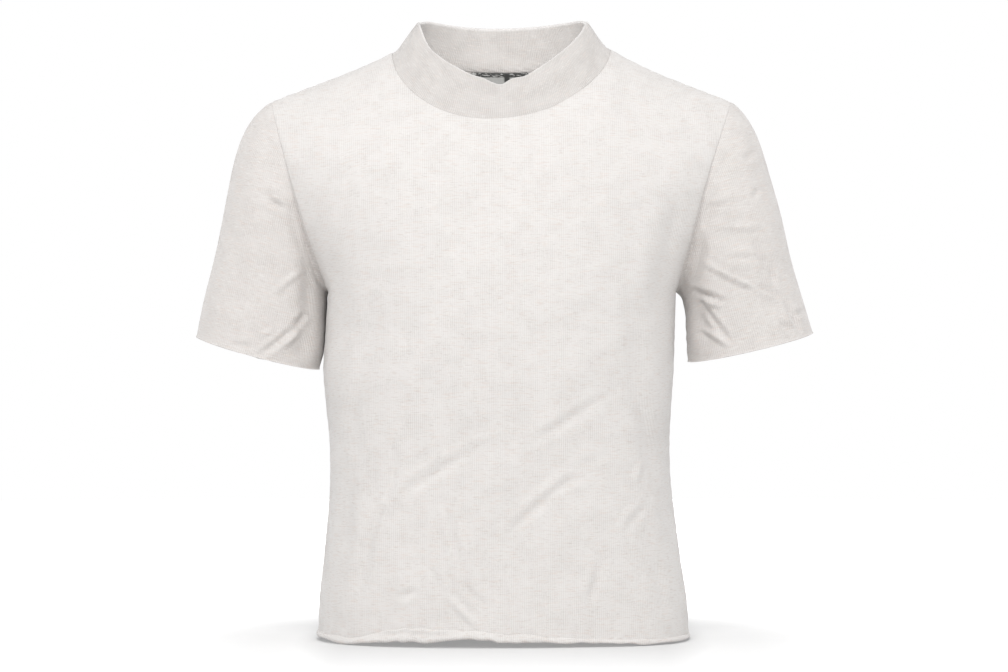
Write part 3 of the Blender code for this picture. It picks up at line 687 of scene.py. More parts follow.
def calc(what, *values):
    """A Math node's result. Its values are numbers and sockets, with one socket at least."""
    tree = next(value for value in values if isinstance(value, bpy.types.NodeSocket)).id_data
    return add_node(tree, "ShaderNodeMath", enumerate(values), operation=what).outputs[0]


def across_and_up(place):
    """The X and the Y of a place."""
    parts = add_node(place.id_data, "ShaderNodeSeparateXYZ", {0: place})
    return parts.outputs["X"], parts.outputs["Y"]


def speckle(place, across, up, detail, roughness):
    """Noise at a place, whose grain is across by up metres in size."""
    stretch = {"Vector": place, "Scale": (1 / across, 1 / up, 1.0)}
    stretch = add_node(place.id_data, "ShaderNodeMapping", stretch)
    grain = {"Vector": stretch.outputs["Vector"], "Scale": 1.0, "Detail": detail}
    grain = add_node(place.id_data, "ShaderNodeTexNoise", {**grain, "Roughness": roughness})
    return grain.outputs["Fac"]


def steps(value, low, high):
    """0 below low, 1 above high, and smooth between them."""
    limits = {"Value": value, "From Min": low, "From Max": high}
    ramp = add_node(value.id_data, "ShaderNodeMapRange", limits, interpolation_type="SMOOTHSTEP")
    return ramp.outputs["Result"]


def blend_colours(share, first, second):
    """The first colour where share is 0 and the second where it is 1."""
    mix = {0: share, 6: first, 7: second}
    return add_node(share.id_data, "ShaderNodeMix", mix, data_type="RGBA").outputs[2]


# Fine rib in a melange yarn. Ribs stand side by side across the cloth, and each is a
# column of small stitches. The yarn changes shade every few stitches along a course.
RIB_WIDTH = 0.00185
RIB_WANDER = (0.0007, 0.012, 0.03)  # how far a rib strays sideways, and over what size
STITCH_SLANT = 0.9  # how much a stitch's legs climb, in halves of its height
STREAKS = (
    # yarn,       across, up,     detail, roughness, none below, all above
    ("Warm yarn", 0.0130, 0.0017, 2.0, 0.60, 0.50, 0.70),
    ("Pale yarn", 0.0085, 0.0012, 2.0, 0.55, 0.52, 0.72),
    ("Dark yarn", 0.0065, 0.0010, 3.0, 0.62, 0.52, 0.70),
)
CLOUDS = (0.03, 0.018, 0.0036, 0.35, 0.65)  # share of dark yarn, size, none below, all above
PATCHES = (0.022, 0.014, 0.38, 0.66)  # where ribs stand out: size, least below, most above
PATCH_SHARE = (0.40, 0.55)  # what they gain there, and what they have everywhere
# The grooves between the ribs are painted darker with GROOVE_SHADE: painted shade in the ribs'
# hollows, stronger in the patches.
GROOVE_POWER = 1.6
GROOVE_SHADE = (0.32, 0.27, 0.24, 1.0)
STITCH_SHARE = 0.10  # a stitch's height, of a rib's
FUZZ = (0.30, 0.0010)  # the same of the yarn's fuzz, and its size

rib_knit, knit_in, knit_out = new_group(
    "fine_rib",
    (
        ("Cloth", "NodeSocketVector", None),
        ("Rib width", "NodeSocketFloat", RIB_WIDTH),
        ("Stitch height", "NodeSocketFloat", 0.0013),
        ("Yarn", "NodeSocketColor", (0.680, 0.652, 0.628, 1.0)),
        ("Dark yarn", "NodeSocketColor", (0.540, 0.500, 0.475, 1.0)),
        ("Pale yarn", "NodeSocketColor", (0.735, 0.715, 0.695, 1.0)),
        ("Warm yarn", "NodeSocketColor", (0.655, 0.590, 0.550, 1.0)),
        ("Melange", "NodeSocketFloat", 0.5),
        ("Groove", "NodeSocketFloat", 0.12),
    ),
    (("Color", "NodeSocketColor"), ("Height", "NodeSocketFloat")),
)
on_cloth = knit_in["Cloth"]
cloth_x, cloth_y = across_and_up(on_cloth)
wander = calc("SUBTRACT", speckle(on_cloth, *RIB_WANDER[1:], 1.0, 0.5), 0.5)
rib_turn = calc("MULTIPLY_ADD", wander, RIB_WANDER[0], cloth_x)
rib_turn = calc("DIVIDE", rib_turn, knit_in["Rib width"])
rib_top = calc("COSINE", calc("MULTIPLY", rib_turn, 2 * np.pi))
rib_top = calc("MULTIPLY_ADD", rib_top, 0.5, 0.5)
slant = calc("PINGPONG", calc("MULTIPLY", rib_turn, 2.0), 0.5)
stitch_turn = calc("DIVIDE", cloth_y, knit_in["Stitch height"])
stitch_turn = calc("MULTIPLY_ADD", slant, STITCH_SLANT, stitch_turn)
stitch_wave = calc("SINE", calc("MULTIPLY", stitch_turn, 2 * np.pi))
tint = knit_in["Yarn"]
for streak_yarn, *streak_grain, none_below, all_above in STREAKS:
    streak = steps(speckle(on_cloth, *streak_grain), none_below, all_above)
    tint = blend_colours(calc("MULTIPLY", streak, knit_in["Melange"]), tint, knit_in[streak_yarn])
cloud = steps(speckle(on_cloth, *CLOUDS[1:3], 2.0, 0.5), *CLOUDS[3:])
tint = blend_colours(calc("MULTIPLY", cloud, CLOUDS[0]), tint, knit_in["Dark yarn"])
patch = steps(speckle(on_cloth, *PATCHES[:2], 2.0, 0.5), *PATCHES[2:])
patch = calc("MULTIPLY_ADD", patch, *PATCH_SHARE)
# Painted shade: the colour darkens into each groove between the ribs.
groove = calc("POWER", calc("SUBTRACT", 1.0, rib_top), GROOVE_POWER)
groove = calc("MULTIPLY", calc("MULTIPLY", groove, patch), knit_in["Groove"])
rib_knit.links.new(blend_colours(groove, tint, GROOVE_SHADE), knit_out["Color"])
relief = calc("MULTIPLY", calc("MULTIPLY_ADD", stitch_wave, STITCH_SHARE, rib_top), patch)
fuzz = speckle(on_cloth, FUZZ[1], FUZZ[1], 2.0, 0.6)
rib_knit.links.new(calc("MULTIPLY_ADD", fuzz, FUZZ[0], relief), knit_out["Height"])

# Painted shade in the line of a seam, and a painted highlight along a cut or folded edge.
seam_shade_and_edge_highlight, shade_in, shade_out = new_group(
    "painted_seam_shade_and_edge_highlight",
    (
        ("Color", "NodeSocketColor", (1.0, 1.0, 1.0, 1.0)),
        ("Distance", "NodeSocketFloat", 0.01),
        ("Width", "NodeSocketFloat", 0.0011),
        ("Line", "NodeSocketColor", (0.30, 0.26, 0.24, 1.0)),
        ("Strength", "NodeSocketFloat", 0.5),
        ("Edge", "NodeSocketFloat", 1.0),
        ("Edge width", "NodeSocketFloat", 0.0016),
        ("Edge highlight", "NodeSocketColor", (0.72, 0.70, 0.685, 1.0)),
        ("Edge strength", "NodeSocketFloat", 0.5),
    ),
    (("Color", "NodeSocketColor"),),
)
lined = shade_in["Color"]
# A painted highlight near a free edge or fold, then painted shade near a seam.
for distance, width, full_to, colour, strength in (
    ("Edge", "Edge width", 0.4, "Edge highlight", "Edge strength"),
    ("Distance", "Width", 0.2, "Line", "Strength"),
):
    nearness = steps(calc("DIVIDE", shade_in[distance], shade_in[width]), full_to, 1.0)
    nearness = calc("MULTIPLY", calc("SUBTRACT", 1.0, nearness), shade_in[strength])
    lined = blend_colours(nearness, lined, shade_in[colour])
seam_shade_and_edge_highlight.links.new(lined, shade_out["Color"])


def uv_places(tree):
    """What each of the cloth's UV maps gives a material."""
    maps = [add_node(tree, "ShaderNodeUVMap", uv_map=layer) for layer in UV_LAYERS]
    return [node.outputs["UV"] for node in maps]


def knit_material(name, yarn, melange, groove, bump, line, edge):
    """Rib knit that follows the cloth's own flat layout.

    bump is the ribs' height and line how dark the painted shade in a seam's line is. edge
    gives the width of the painted highlight along the free edge or fold, and its strength.
    """
    material, tree = new_material(name)
    flat, seam = uv_places(tree)
    knit = {"Cloth": flat, "Yarn": yarn, "Melange": melange, "Groove": groove}
    knit = add_node(tree, "ShaderNodeGroup", knit, node_tree=rib_knit)
    to_seam, to_edge = across_and_up(seam)
    shade = {"Color": knit.outputs["Color"], "Distance": to_seam, "Strength": line}
    shade.update({"Edge": to_edge, "Edge width": edge[0], "Edge strength": edge[1]})
    shade = add_node(tree, "ShaderNodeGroup", shade, node_tree=seam_shade_and_edge_highlight)
    raised = {"Height": knit.outputs["Height"], "Distance": bump, "Strength": 1.0}
    finish = {
        "Base Color": shade.outputs["Color"],
        "Normal": add_node(tree, "ShaderNodeBump", raised).outputs["Normal"],
        "Roughness": 0.90,
        "Specular IOR Level": 0.25,
        "Sheen Weight": 0.40,
        "Sheen Roughness": 0.42,
    }
    set_inputs(tree.nodes["Principled BSDF"], finish)
    material.diffuse_color = (0.80, 0.775, 0.745, 1.0)
    return material


BODY_YARN = (0.690, 0.670, 0.653, 1.0)
body_knit = knit_material("oatmeal_rib", BODY_YARN, 0.62, 0.19, 0.00024, 0.0, (0.0016, 0.15))
front_cloth = panel_piece(
    "front_cloth", "front", FRONT_ROLL, FRONT_CREASES, FRONT_WAVES, body_knit
)
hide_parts("front")
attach(front_cloth, "root")

# ---------------------------------------------------------------------------
# Back panel
# The back of the body, cut from the same rib knit as the front and higher at the neck.
# It is sewn to the front at the sides and shoulders, and its raw hem curls as well.

BACK_ROLL = (
    # x,     lowest point, half height, half depth
    (-0.1640, -0.5085, 0.0020, 0.0010),
    (-0.1480, -0.5070, 0.0026, 0.0017),
    (-0.1200, -0.5062, 0.0034, 0.0020),
    (-0.0900, -0.5080, 0.0026, 0.0018),
    (-0.0620, -0.5092, 0.0030, 0.0019),
    (-0.0300, -0.5074, 0.0046, 0.0022),
    (0.0020, -0.5062, 0.0054, 0.0024),
    (0.0340, -0.5070, 0.0038, 0.0021),
    (0.0640, -0.5088, 0.0026, 0.0018),
    (0.0960, -0.5094, 0.0032, 0.0020),
    (0.1260, -0.5082, 0.0040, 0.0021),
    (0.1500, -0.5098, 0.0028, 0.0017),
    (0.1640, -0.5112, 0.0022, 0.0010),
)

BACK_CREASES = (
    # x,     z,      through x, z,      to x,    z,      width,  height
    (-0.112, -0.150, -0.080, -0.206, -0.030, -0.246, 0.0120, -0.0022),
    (0.104, -0.158, 0.070, -0.216, 0.024, -0.264, 0.0125, -0.0024),
    (-0.128, -0.296, -0.074, -0.324, -0.006, -0.334, 0.0090, -0.0020),
    (0.124, -0.316, 0.068, -0.350, 0.012, -0.358, 0.0085, -0.0019),
    (-0.100, -0.352, -0.056, -0.372, -0.014, -0.374, 0.0075, -0.0015),
    (0.104, -0.392, 0.070, -0.404, 0.036, -0.404, 0.0070, -0.0014),
    (-0.088, -0.386, -0.100, -0.430, -0.106, -0.490, 0.0100, -0.0026),
    (0.084, -0.408, 0.096, -0.452, 0.100, -0.498, 0.0100, -0.0026),
    (-0.010, -0.402, -0.002, -0.446, 0.008, -0.492, 0.0085, 0.0016),
    (-0.136, -0.226, -0.140, -0.262, -0.137, -0.300, 0.0080, -0.0018),
    (0.136, -0.232, 0.138, -0.276, 0.133, -0.318, 0.0080, -0.0018),
)

BACK_WAVES = (
    # across, up,   height,  shift
    (4.7, -3.9, 0.00060, 3.3),
    (-9.3, 6.7, 0.00040, 0.4),
    (12.3, 8.9, 0.00026, 2.6),
    (5.9, -16.1, 0.00022, 1.5),
    (-18.1, 12.7, 0.00014, 4.6),
)

back_cloth = panel_piece("back_cloth", "back", BACK_ROLL, BACK_CREASES, BACK_WAVES, body_knit)
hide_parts("back")
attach(back_cloth, "root")

# ---------------------------------------------------------------------------
# Sleeves
# Two short set-in sleeves of the same rib knit, its ribs running along the arm. Each
# is sewn into its armhole and closed by a seam under the arm, and ends in a clean cut.

CUFFS = {
    # side, seen from the front: outer end (x, z), inner end (x, z)
    "right": ((-0.2682, -0.2480), (-0.1612, -0.2765)),
    "left": ((0.2699, -0.2446), (0.1606, -0.2700)),
}
CUFF_HALF_DEPTH = 0.0475
CUFF_FORWARD = 0.0040
CUFF_FRONT_DROP = 0.0034  # the front edge of the cuff hangs lower than the back
CUFF_SQUARENESS = 2.05
CUFF_EDGE = (0.0005, 0.0012)  # how far the cut edge turns out, and how near to it
# How each line of the sleeve leaves the armhole and arrives at the cuff.
SLEEVE_LINES = {
    # side and line: leaves outwards, down, reach; arrives outwards, down, reach
    "right top": (0.848, 0.530, 0.120, 0.225, 0.974, 0.495),
    "right middle": (0.740, 0.670, 0.110, 0.160, 0.987, 0.270),
    "right underarm": (0.700, 0.714, 0.020, 0.360, 0.933, 0.068),
    "left top": (0.848, 0.530, 0.120, 0.301, 0.954, 0.370),
    "left middle": (0.740, 0.670, 0.110, 0.190, 0.982, 0.230),
    "left underarm": (0.900, 0.440, 0.042, 0.050, 0.999, 0.060),
}
SLEEVE_ROWS = 150
SLEEVE_CROWD = (8.0, 4.0, 0.008)  # how much closer they stand at its ends, and how near
SLEEVE_FADE = (0.012, 1.5)  # its creases fade this near to the armhole, and how
ARMHOLE_HALF = 112  # columns on each half of a sleeve's ring
SLEEVE_LEVELS = 900  # sections square to its length, on which the ribs are set out

# Under the arm the sleeve falls in beside the body: how deep on its front and back,
# within what distance, how far it reaches, and from which height down to which.
SLEEVE_VALLEY = {
    # side: front, back, within, reach, from, full
    "right": (0.0120, 0.0045, 0.0012, 0.0110, -0.080, -0.175),
    "left": (0.0120, 0.0045, 0.0012, 0.0105, -0.080, -0.185),
}

# How far the cloth just behind the underarm hangs in towards the body, and in degrees
# round the sleeve where that is and how far it reaches.
SLEEVE_TUCK = {"right": (0.0022, 18, 11), "left": (0.0, 18, 11)}

SLEEVE_CREASES = {
    # x,     z,      through x, z,      to x,    z,      width,  height
    "right front": (
        (-0.1794, -0.2390, -0.1958, -0.2537, -0.2123, -0.2658, 0.0027, -0.0027),
        (-0.1690, -0.2277, -0.1742, -0.2338, -0.1811, -0.2398, 0.0031, -0.0031),
        (-0.1742, -0.2433, -0.1829, -0.2502, -0.1924, -0.2563, 0.0027, 0.0019),
        (-0.1967, -0.2113, -0.1863, -0.2001, -0.1708, -0.1906, 0.0025, 0.0018),
        (-0.2036, -0.1309, -0.1958, -0.1344, -0.1863, -0.1378, 0.0027, -0.0027),
        (-0.2019, -0.1171, -0.1984, -0.1214, -0.1932, -0.1248, 0.0045, 0.0009),
        (-0.2365, -0.2537, -0.2252, -0.2563, -0.2140, -0.2563, 0.0027, -0.0015),
        (-0.2088, -0.2468, -0.2036, -0.2450, -0.1976, -0.2424, 0.0027, 0.0014),
        (-0.2356, -0.1525, -0.2330, -0.1681, -0.2278, -0.1785, 0.0050, -0.0008),
        (-0.1898, -0.0868, -0.1837, -0.1058, -0.1785, -0.1266, 0.0050, -0.0014),
        (-0.1846, -0.1352, -0.1734, -0.1612, -0.1673, -0.1836, 0.0070, -0.0034),
        (-0.1708, -0.1802, -0.1664, -0.2096, -0.1690, -0.2424, 0.0085, -0.0050),
        (-0.1690, -0.2321, -0.1716, -0.2511, -0.1759, -0.2684, 0.0080, -0.0036),
    ),
    "left front": (
        (0.2149, -0.1646, 0.2218, -0.1785, 0.2304, -0.1914, 0.0025, -0.0022),
        (0.2287, -0.1871, 0.2330, -0.1957, 0.2356, -0.2035, 0.0025, -0.0027),
        (0.1682, -0.1810, 0.2028, -0.2001, 0.2434, -0.2174, 0.0025, 0.0024),
        (0.2062, -0.2053, 0.2261, -0.2087, 0.2460, -0.2191, 0.0025, -0.0020),
        (0.2425, -0.2165, 0.2503, -0.2303, 0.2564, -0.2468, 0.0027, -0.0031),
        (0.2373, -0.2355, 0.2443, -0.2398, 0.2520, -0.2450, 0.0025, -0.0020),
        (0.2512, -0.2286, 0.2564, -0.2277, 0.2624, -0.2260, 0.0022, -0.0020),
        (0.1613, -0.2096, 0.1760, -0.2122, 0.1915, -0.2191, 0.0025, -0.0029),
        (0.1699, -0.2148, 0.1803, -0.2191, 0.1889, -0.2226, 0.0023, 0.0020),
        (0.1699, -0.2182, 0.1803, -0.2321, 0.1967, -0.2554, 0.0025, -0.0027),
        (0.1682, -0.2407, 0.1811, -0.2468, 0.1950, -0.2563, 0.0025, 0.0029),
        (0.1734, -0.1370, 0.1837, -0.1352, 0.1967, -0.1335, 0.0025, -0.0020),
        (0.2062, -0.0955, 0.2131, -0.0920, 0.2192, -0.0868, 0.0032, -0.0014),
        (0.2149, -0.1266, 0.2192, -0.1240, 0.2226, -0.1205, 0.0027, -0.0014),
        (0.1907, -0.0868, 0.1881, -0.1024, 0.1820, -0.1179, 0.0050, -0.0012),
        (0.1820, -0.1162, 0.1760, -0.1370, 0.1682, -0.1594, 0.0070, -0.0030),
        (0.1682, -0.1577, 0.1630, -0.1802, 0.1595, -0.2044, 0.0080, -0.0046),
        (0.1639, -0.2044, 0.1690, -0.2303, 0.1785, -0.2615, 0.0070, -0.0036),
        (0.1837, -0.1525, 0.2045, -0.1542, 0.2235, -0.1508, 0.0025, 0.0014),
        (0.1889, -0.1836, 0.2088, -0.1802, 0.2287, -0.1836, 0.0027, -0.0012),
    ),
    "right back": (
        (-0.160, -0.214, -0.190, -0.226, -0.222, -0.222, 0.0065, -0.0026),
        (-0.168, -0.228, -0.186, -0.250, -0.200, -0.268, 0.0060, -0.0020),
        (-0.226, -0.176, -0.240, -0.204, -0.244, -0.232, 0.0070, -0.0020),
        (-0.178, -0.146, -0.200, -0.150, -0.222, -0.146, 0.0070, -0.0012),
    ),
    "left back": (
        (0.158, -0.212, 0.184, -0.230, 0.214, -0.234, 0.0065, -0.0026),
        (0.170, -0.236, 0.190, -0.254, 0.210, -0.262, 0.0055, -0.0018),
        (0.226, -0.170, 0.242, -0.196, 0.250, -0.228, 0.0070, -0.0020),
        (0.176, -0.150, 0.200, -0.158, 0.224, -0.156, 0.0065, -0.0012),
    ),
}
SLEEVE_WAVES = {
    # across, up,   height,  shift
    "right": ((9.1, 7.3, 0.00045, 0.9), (-15.7, 10.1, 0.00030, 3.0), (21.3, -17.9, 0.00018, 5.1)),
    "left": ((-8.3, 8.1, 0.00045, 2.4), (14.9, -11.3, 0.00030, 0.2), (19.9, 18.7, 0.00018, 3.7)),
}


def ring_of(front, back):
    """One closed ring from an edge of the front and the same edge of the back.

    Both run between the same two seam points, and each of those is used once.
    """
    start, end = (front[0] + back[0]) / 2, (front[-1] + back[-1]) / 2
    return np.concatenate([[start], front[1:-1], [end], back[-2:0:-1]])


def wrapped(grid):
    """The same grid with its first column again at its end."""
    return np.concatenate([grid, grid[:, :1]], axis=1)


def sleeve_laid_flat(points, length_way):
    """Where each point lies on the sleeve's flat cloth: metres across and up.

    The sleeve is cut by sections square to its length. Across is the length of the
    section from the sleeve's top line, so that the ribs run along the sleeve, and up is
    measured along its length.
    """
    fall = points @ length_way
    levels = np.linspace(fall.min(), fall.max(), SLEEVE_LEVELS)
    cuts = np.array(
        [
            [np.interp(levels, fall[:, column], points[:, column, axis]) for axis in range(3)]
            for column in range(points.shape[1])
        ]
    )
    arcs = run_of(np.moveaxis(cuts, 1, 2), 0)
    arcs = arcs - arcs[ARMHOLE_HALF]
    across = [np.interp(fall[:, column], levels, arcs[column]) for column in range(len(arcs))]
    return np.stack(across, axis=1), -fall


def sleeve_piece(side, material):
    """A sleeve as one body of cloth, ring by ring from the armhole to the cuff.

    Its first ring is the armhole. Every point of that ring follows a cubic to its place
    on the cuff, an oval: it leaves in one direction and arrives in another.
    """
    sign = -1.0 if side == "right" else 1.0
    v = np.linspace(0.0, 1.0, ARMHOLE_HALF + 1)[:, None]
    edge_u = np.array([[sign]])
    ring = ring_of(*(panel_points(panel, edge_u, v)[:, 0] for panel in ("front", "back")))
    low, high = (np.array(armhole_line(sign, share)) for share in (0.0, 1.0))
    leaves = unit(np.array([sign * (high[1] - low[1]), 0.0, -sign * (high[0] - low[0])]))
    start = ring + leaves * SEAM_GAP

    # Angle round the sleeve: 0 at the underarm, a half turn at the top.
    angle = np.pi * np.arange(2 * ARMHOLE_HALF) / ARMHOLE_HALF
    lift, forward = (1 - np.cos(angle)) / 2, np.sin(angle)
    (outer_x, outer_z), (inner_x, inner_z) = CUFFS[side]
    power = 2 / CUFF_SQUARENESS
    across = np.sign(-np.cos(angle)) * np.abs(np.cos(angle)) ** power
    depth = np.sign(forward) * np.abs(forward) ** power
    cuff = np.stack(
        [
            (outer_x + inner_x) / 2 + (outer_x - inner_x) / 2 * across,
            -CUFF_FORWARD - CUFF_HALF_DEPTH * depth,
            (outer_z + inner_z) / 2 + (outer_z - inner_z) / 2 * across - CUFF_FRONT_DROP * depth,
        ],
        axis=-1,
    )
    rows = np.array([SLEEVE_LINES[f"{side} {line}"] for line in ("underarm", "middle", "top")])
    weights = np.stack([(1 - lift) ** 2, 2 * lift * (1 - lift), lift**2], axis=-1)
    out_start, down_start, reach_start, out_end, down_end, reach_end = (weights @ rows).T
    level = np.zeros_like(lift)
    leave = unit(np.stack([sign * out_start, level, -down_start], axis=-1)) * reach_start[:, None]
    arrive = unit(np.stack([sign * out_end, level, -down_end], axis=-1)) * reach_end[:, None]
    t = crowded(SLEEVE_ROWS, *SLEEVE_CROWD)[:, None, None]
    plain = (
        (1 + 2 * t) * (1 - t) ** 2 * start
        + t * (1 - t) ** 2 * leave
        + t**2 * (3 - 2 * t) * cuff
        - t**2 * (1 - t) * arrive
    )
    tuck, tuck_turn, tuck_reach = SLEEVE_TUCK[side]
    behind = 360 - np.degrees(angle)
    hang = np.sin(np.pi * t[..., 0]) * bell((behind - tuck_turn) / tuck_reach)
    plain = plain - (sign * tuck * hang)[..., None] * np.array([1.0, 0.0, 0.0])
    normals = grid_normals(plain, closed=True) * -sign

    run = run_of(wrapped(plain), 1)
    down = run_of(plain, 0)
    under = np.minimum(run, run[:, -1:] - run)[:, :-1]
    distance = np.minimum(down, under)
    along = np.where(down < under, run[:, :-1], down)
    front_side = np.clip(-normals[..., 1], 0.0, 1.0)
    back_side = np.clip(normals[..., 1], 0.0, 1.0)
    height = (
        creases_at(plain, SLEEVE_CREASES[f"{side} front"], front_side)
        + creases_at(plain, SLEEVE_CREASES[f"{side} back"], back_side)
        + waves_at(plain, SLEEVE_WAVES[side])
    )
    drawn = np.where(down < under, drawn_at(plain[..., 2]), 1.0)
    height = height * np.clip(down / SLEEVE_FADE[0], 0.0, 1.0) ** SLEEVE_FADE[1]
    height = height + seam_relief(distance, along, drawn)
    deep, deep_back, within, reach, high_z, low_z = SLEEVE_VALLEY[side]
    fallen = np.clip((high_z - plain[..., 2]) / (high_z - low_z), 0.0, 1.0)
    valley = (1 - bell(distance / within)) * np.exp(-distance / reach)
    valley = valley * fallen**2 * (3 - 2 * fallen)
    height = height - valley * (deep * front_side + deep_back * back_side)
    height = height + CUFF_EDGE[0] * bell((down[-1:] - down) / CUFF_EDGE[1])
    outer = plain + normals * height[..., None]
    normals = grid_normals(outer, closed=True) * -sign
    inner = outer + into_seam(-normals, armhole_rim(ring, sign)[None], down) * CLOTH

    cuff_way = np.array([outer_x - inner_x, 0.0, outer_z - inner_z])
    length_way = unit(np.array([sign * cuff_way[2], 0.0, -np.abs(cuff_way[0])]))
    flat = np.stack(sleeve_laid_flat(wrapped(plain), length_way), axis=-1)
    seam = np.stack([wrapped(distance), wrapped(down[-1:] - down)], axis=-1)
    if side == "left":
        outer, inner = outer[:, ::-1], inner[:, ::-1]
        flat, seam = flat[:, ::-1], seam[:, ::-1]
        outer, inner = np.roll(outer, 1, axis=1), np.roll(inner, 1, axis=1)
    return make_wall(f"sleeve_{side}_cloth", outer, inner, flat, seam, True, material)


# Painted shade: the sleeves are the body's knit, with its yarn painted darker to stand for the
# shade they are in.
SHADED_SLEEVE_YARN = (0.645, 0.620, 0.601, 1.0)
sleeve_knit = knit_material(
    "oatmeal_sleeve_rib_shaded", SHADED_SLEEVE_YARN, 0.72, 0.22, 0.00026, 0.0, (0.0016, 0.20)
)
sleeve_right_cloth = sleeve_piece("right", sleeve_knit)
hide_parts("sleeve_right")
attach(sleeve_right_cloth, "root")

sleeve_left_cloth = sleeve_piece("left", sleeve_knit)
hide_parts("sleeve_left")
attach(sleeve_left_cloth, "root")

# ---------------------------------------------------------------------------
# Neckband
# A strip of the same rib knit, folded double so that its fold is the soft top edge.
# Both of its raw edges are sewn into the neck seam, and its ends meet at the back.

BAND_CLOTH = 0.0026  # the two layers together
BAND_LAYER = 0.0012
BAND_TOP_HALF_WIDTH = {"right": 0.0745, "left": 0.0728}
BAND_TOP_SIDE = -0.0040  # depth of its top edge at the sides
BAND_SQUARENESS = 2.5  # of its top edge seen from above, 2 is an ellipse
# Height of the top edge from the wearer's right to the left. The front hangs lower on
# the right, and is pulled into a small notch near the middle.
BAND_RIM = (
    # share across, height
    (-1.00, 0.0268),
    (-0.96, 0.0190),
    (-0.92, 0.0115),
    (-0.85, 0.0020),
    (-0.78, -0.0030),
    (-0.64, -0.0110),
    (-0.50, -0.0170),
    (-0.36, -0.0218),
    (-0.22, -0.0252),
    (-0.15, -0.0278),
    (-0.08, -0.0299),
    (0.00, -0.0299),
    (0.05, -0.0275),
    (0.12, -0.0254),
    (0.26, -0.0230),
    (0.37, -0.0181),
    (0.46, -0.0138),
    (0.60, -0.0065),
    (0.74, 0.0018),
    (0.88, 0.0122),
    (0.94, 0.0182),
    (0.98, 0.0240),
    (1.00, 0.0268),
)
BAND_RIM_BACK = (
    # share across, height
    (-1.00, 0.0272),
    (-0.93, 0.0294),
    (-0.79, 0.0290),
    (-0.65, 0.0276),
    (-0.37, 0.0254),
    (-0.09, 0.0249),
    (0.20, 0.0256),
    (0.49, 0.0271),
    (0.78, 0.0293),
    (0.92, 0.0300),
    (0.97, 0.0290),
    (1.00, 0.0268),
)
# How far it falls in above the seam.
BAND_HOLLOW = {"front": 0.0016, "right": 0.0028, "left": 0.0027}
BAND_HOLLOW_NEAR = 0.04  # within this share of its height
BAND_HALF = 150  # columns on each half of its ring
BAND_ROWS = (40, 9)  # seam to fold, and round a quarter of the fold
BAND_CROWD = (8.0, 1.0, 0.02)  # how much closer they stand at the seam and the fold
BAND_FADE = 3  # its waves are full from a third of the way up
BAND_WAVES = ((11.3, 6.1, 0.00035, 0.8), (-21.7, 9.3, 0.00022, 2.9), (37.1, -8.3, 0.00012, 4.4))


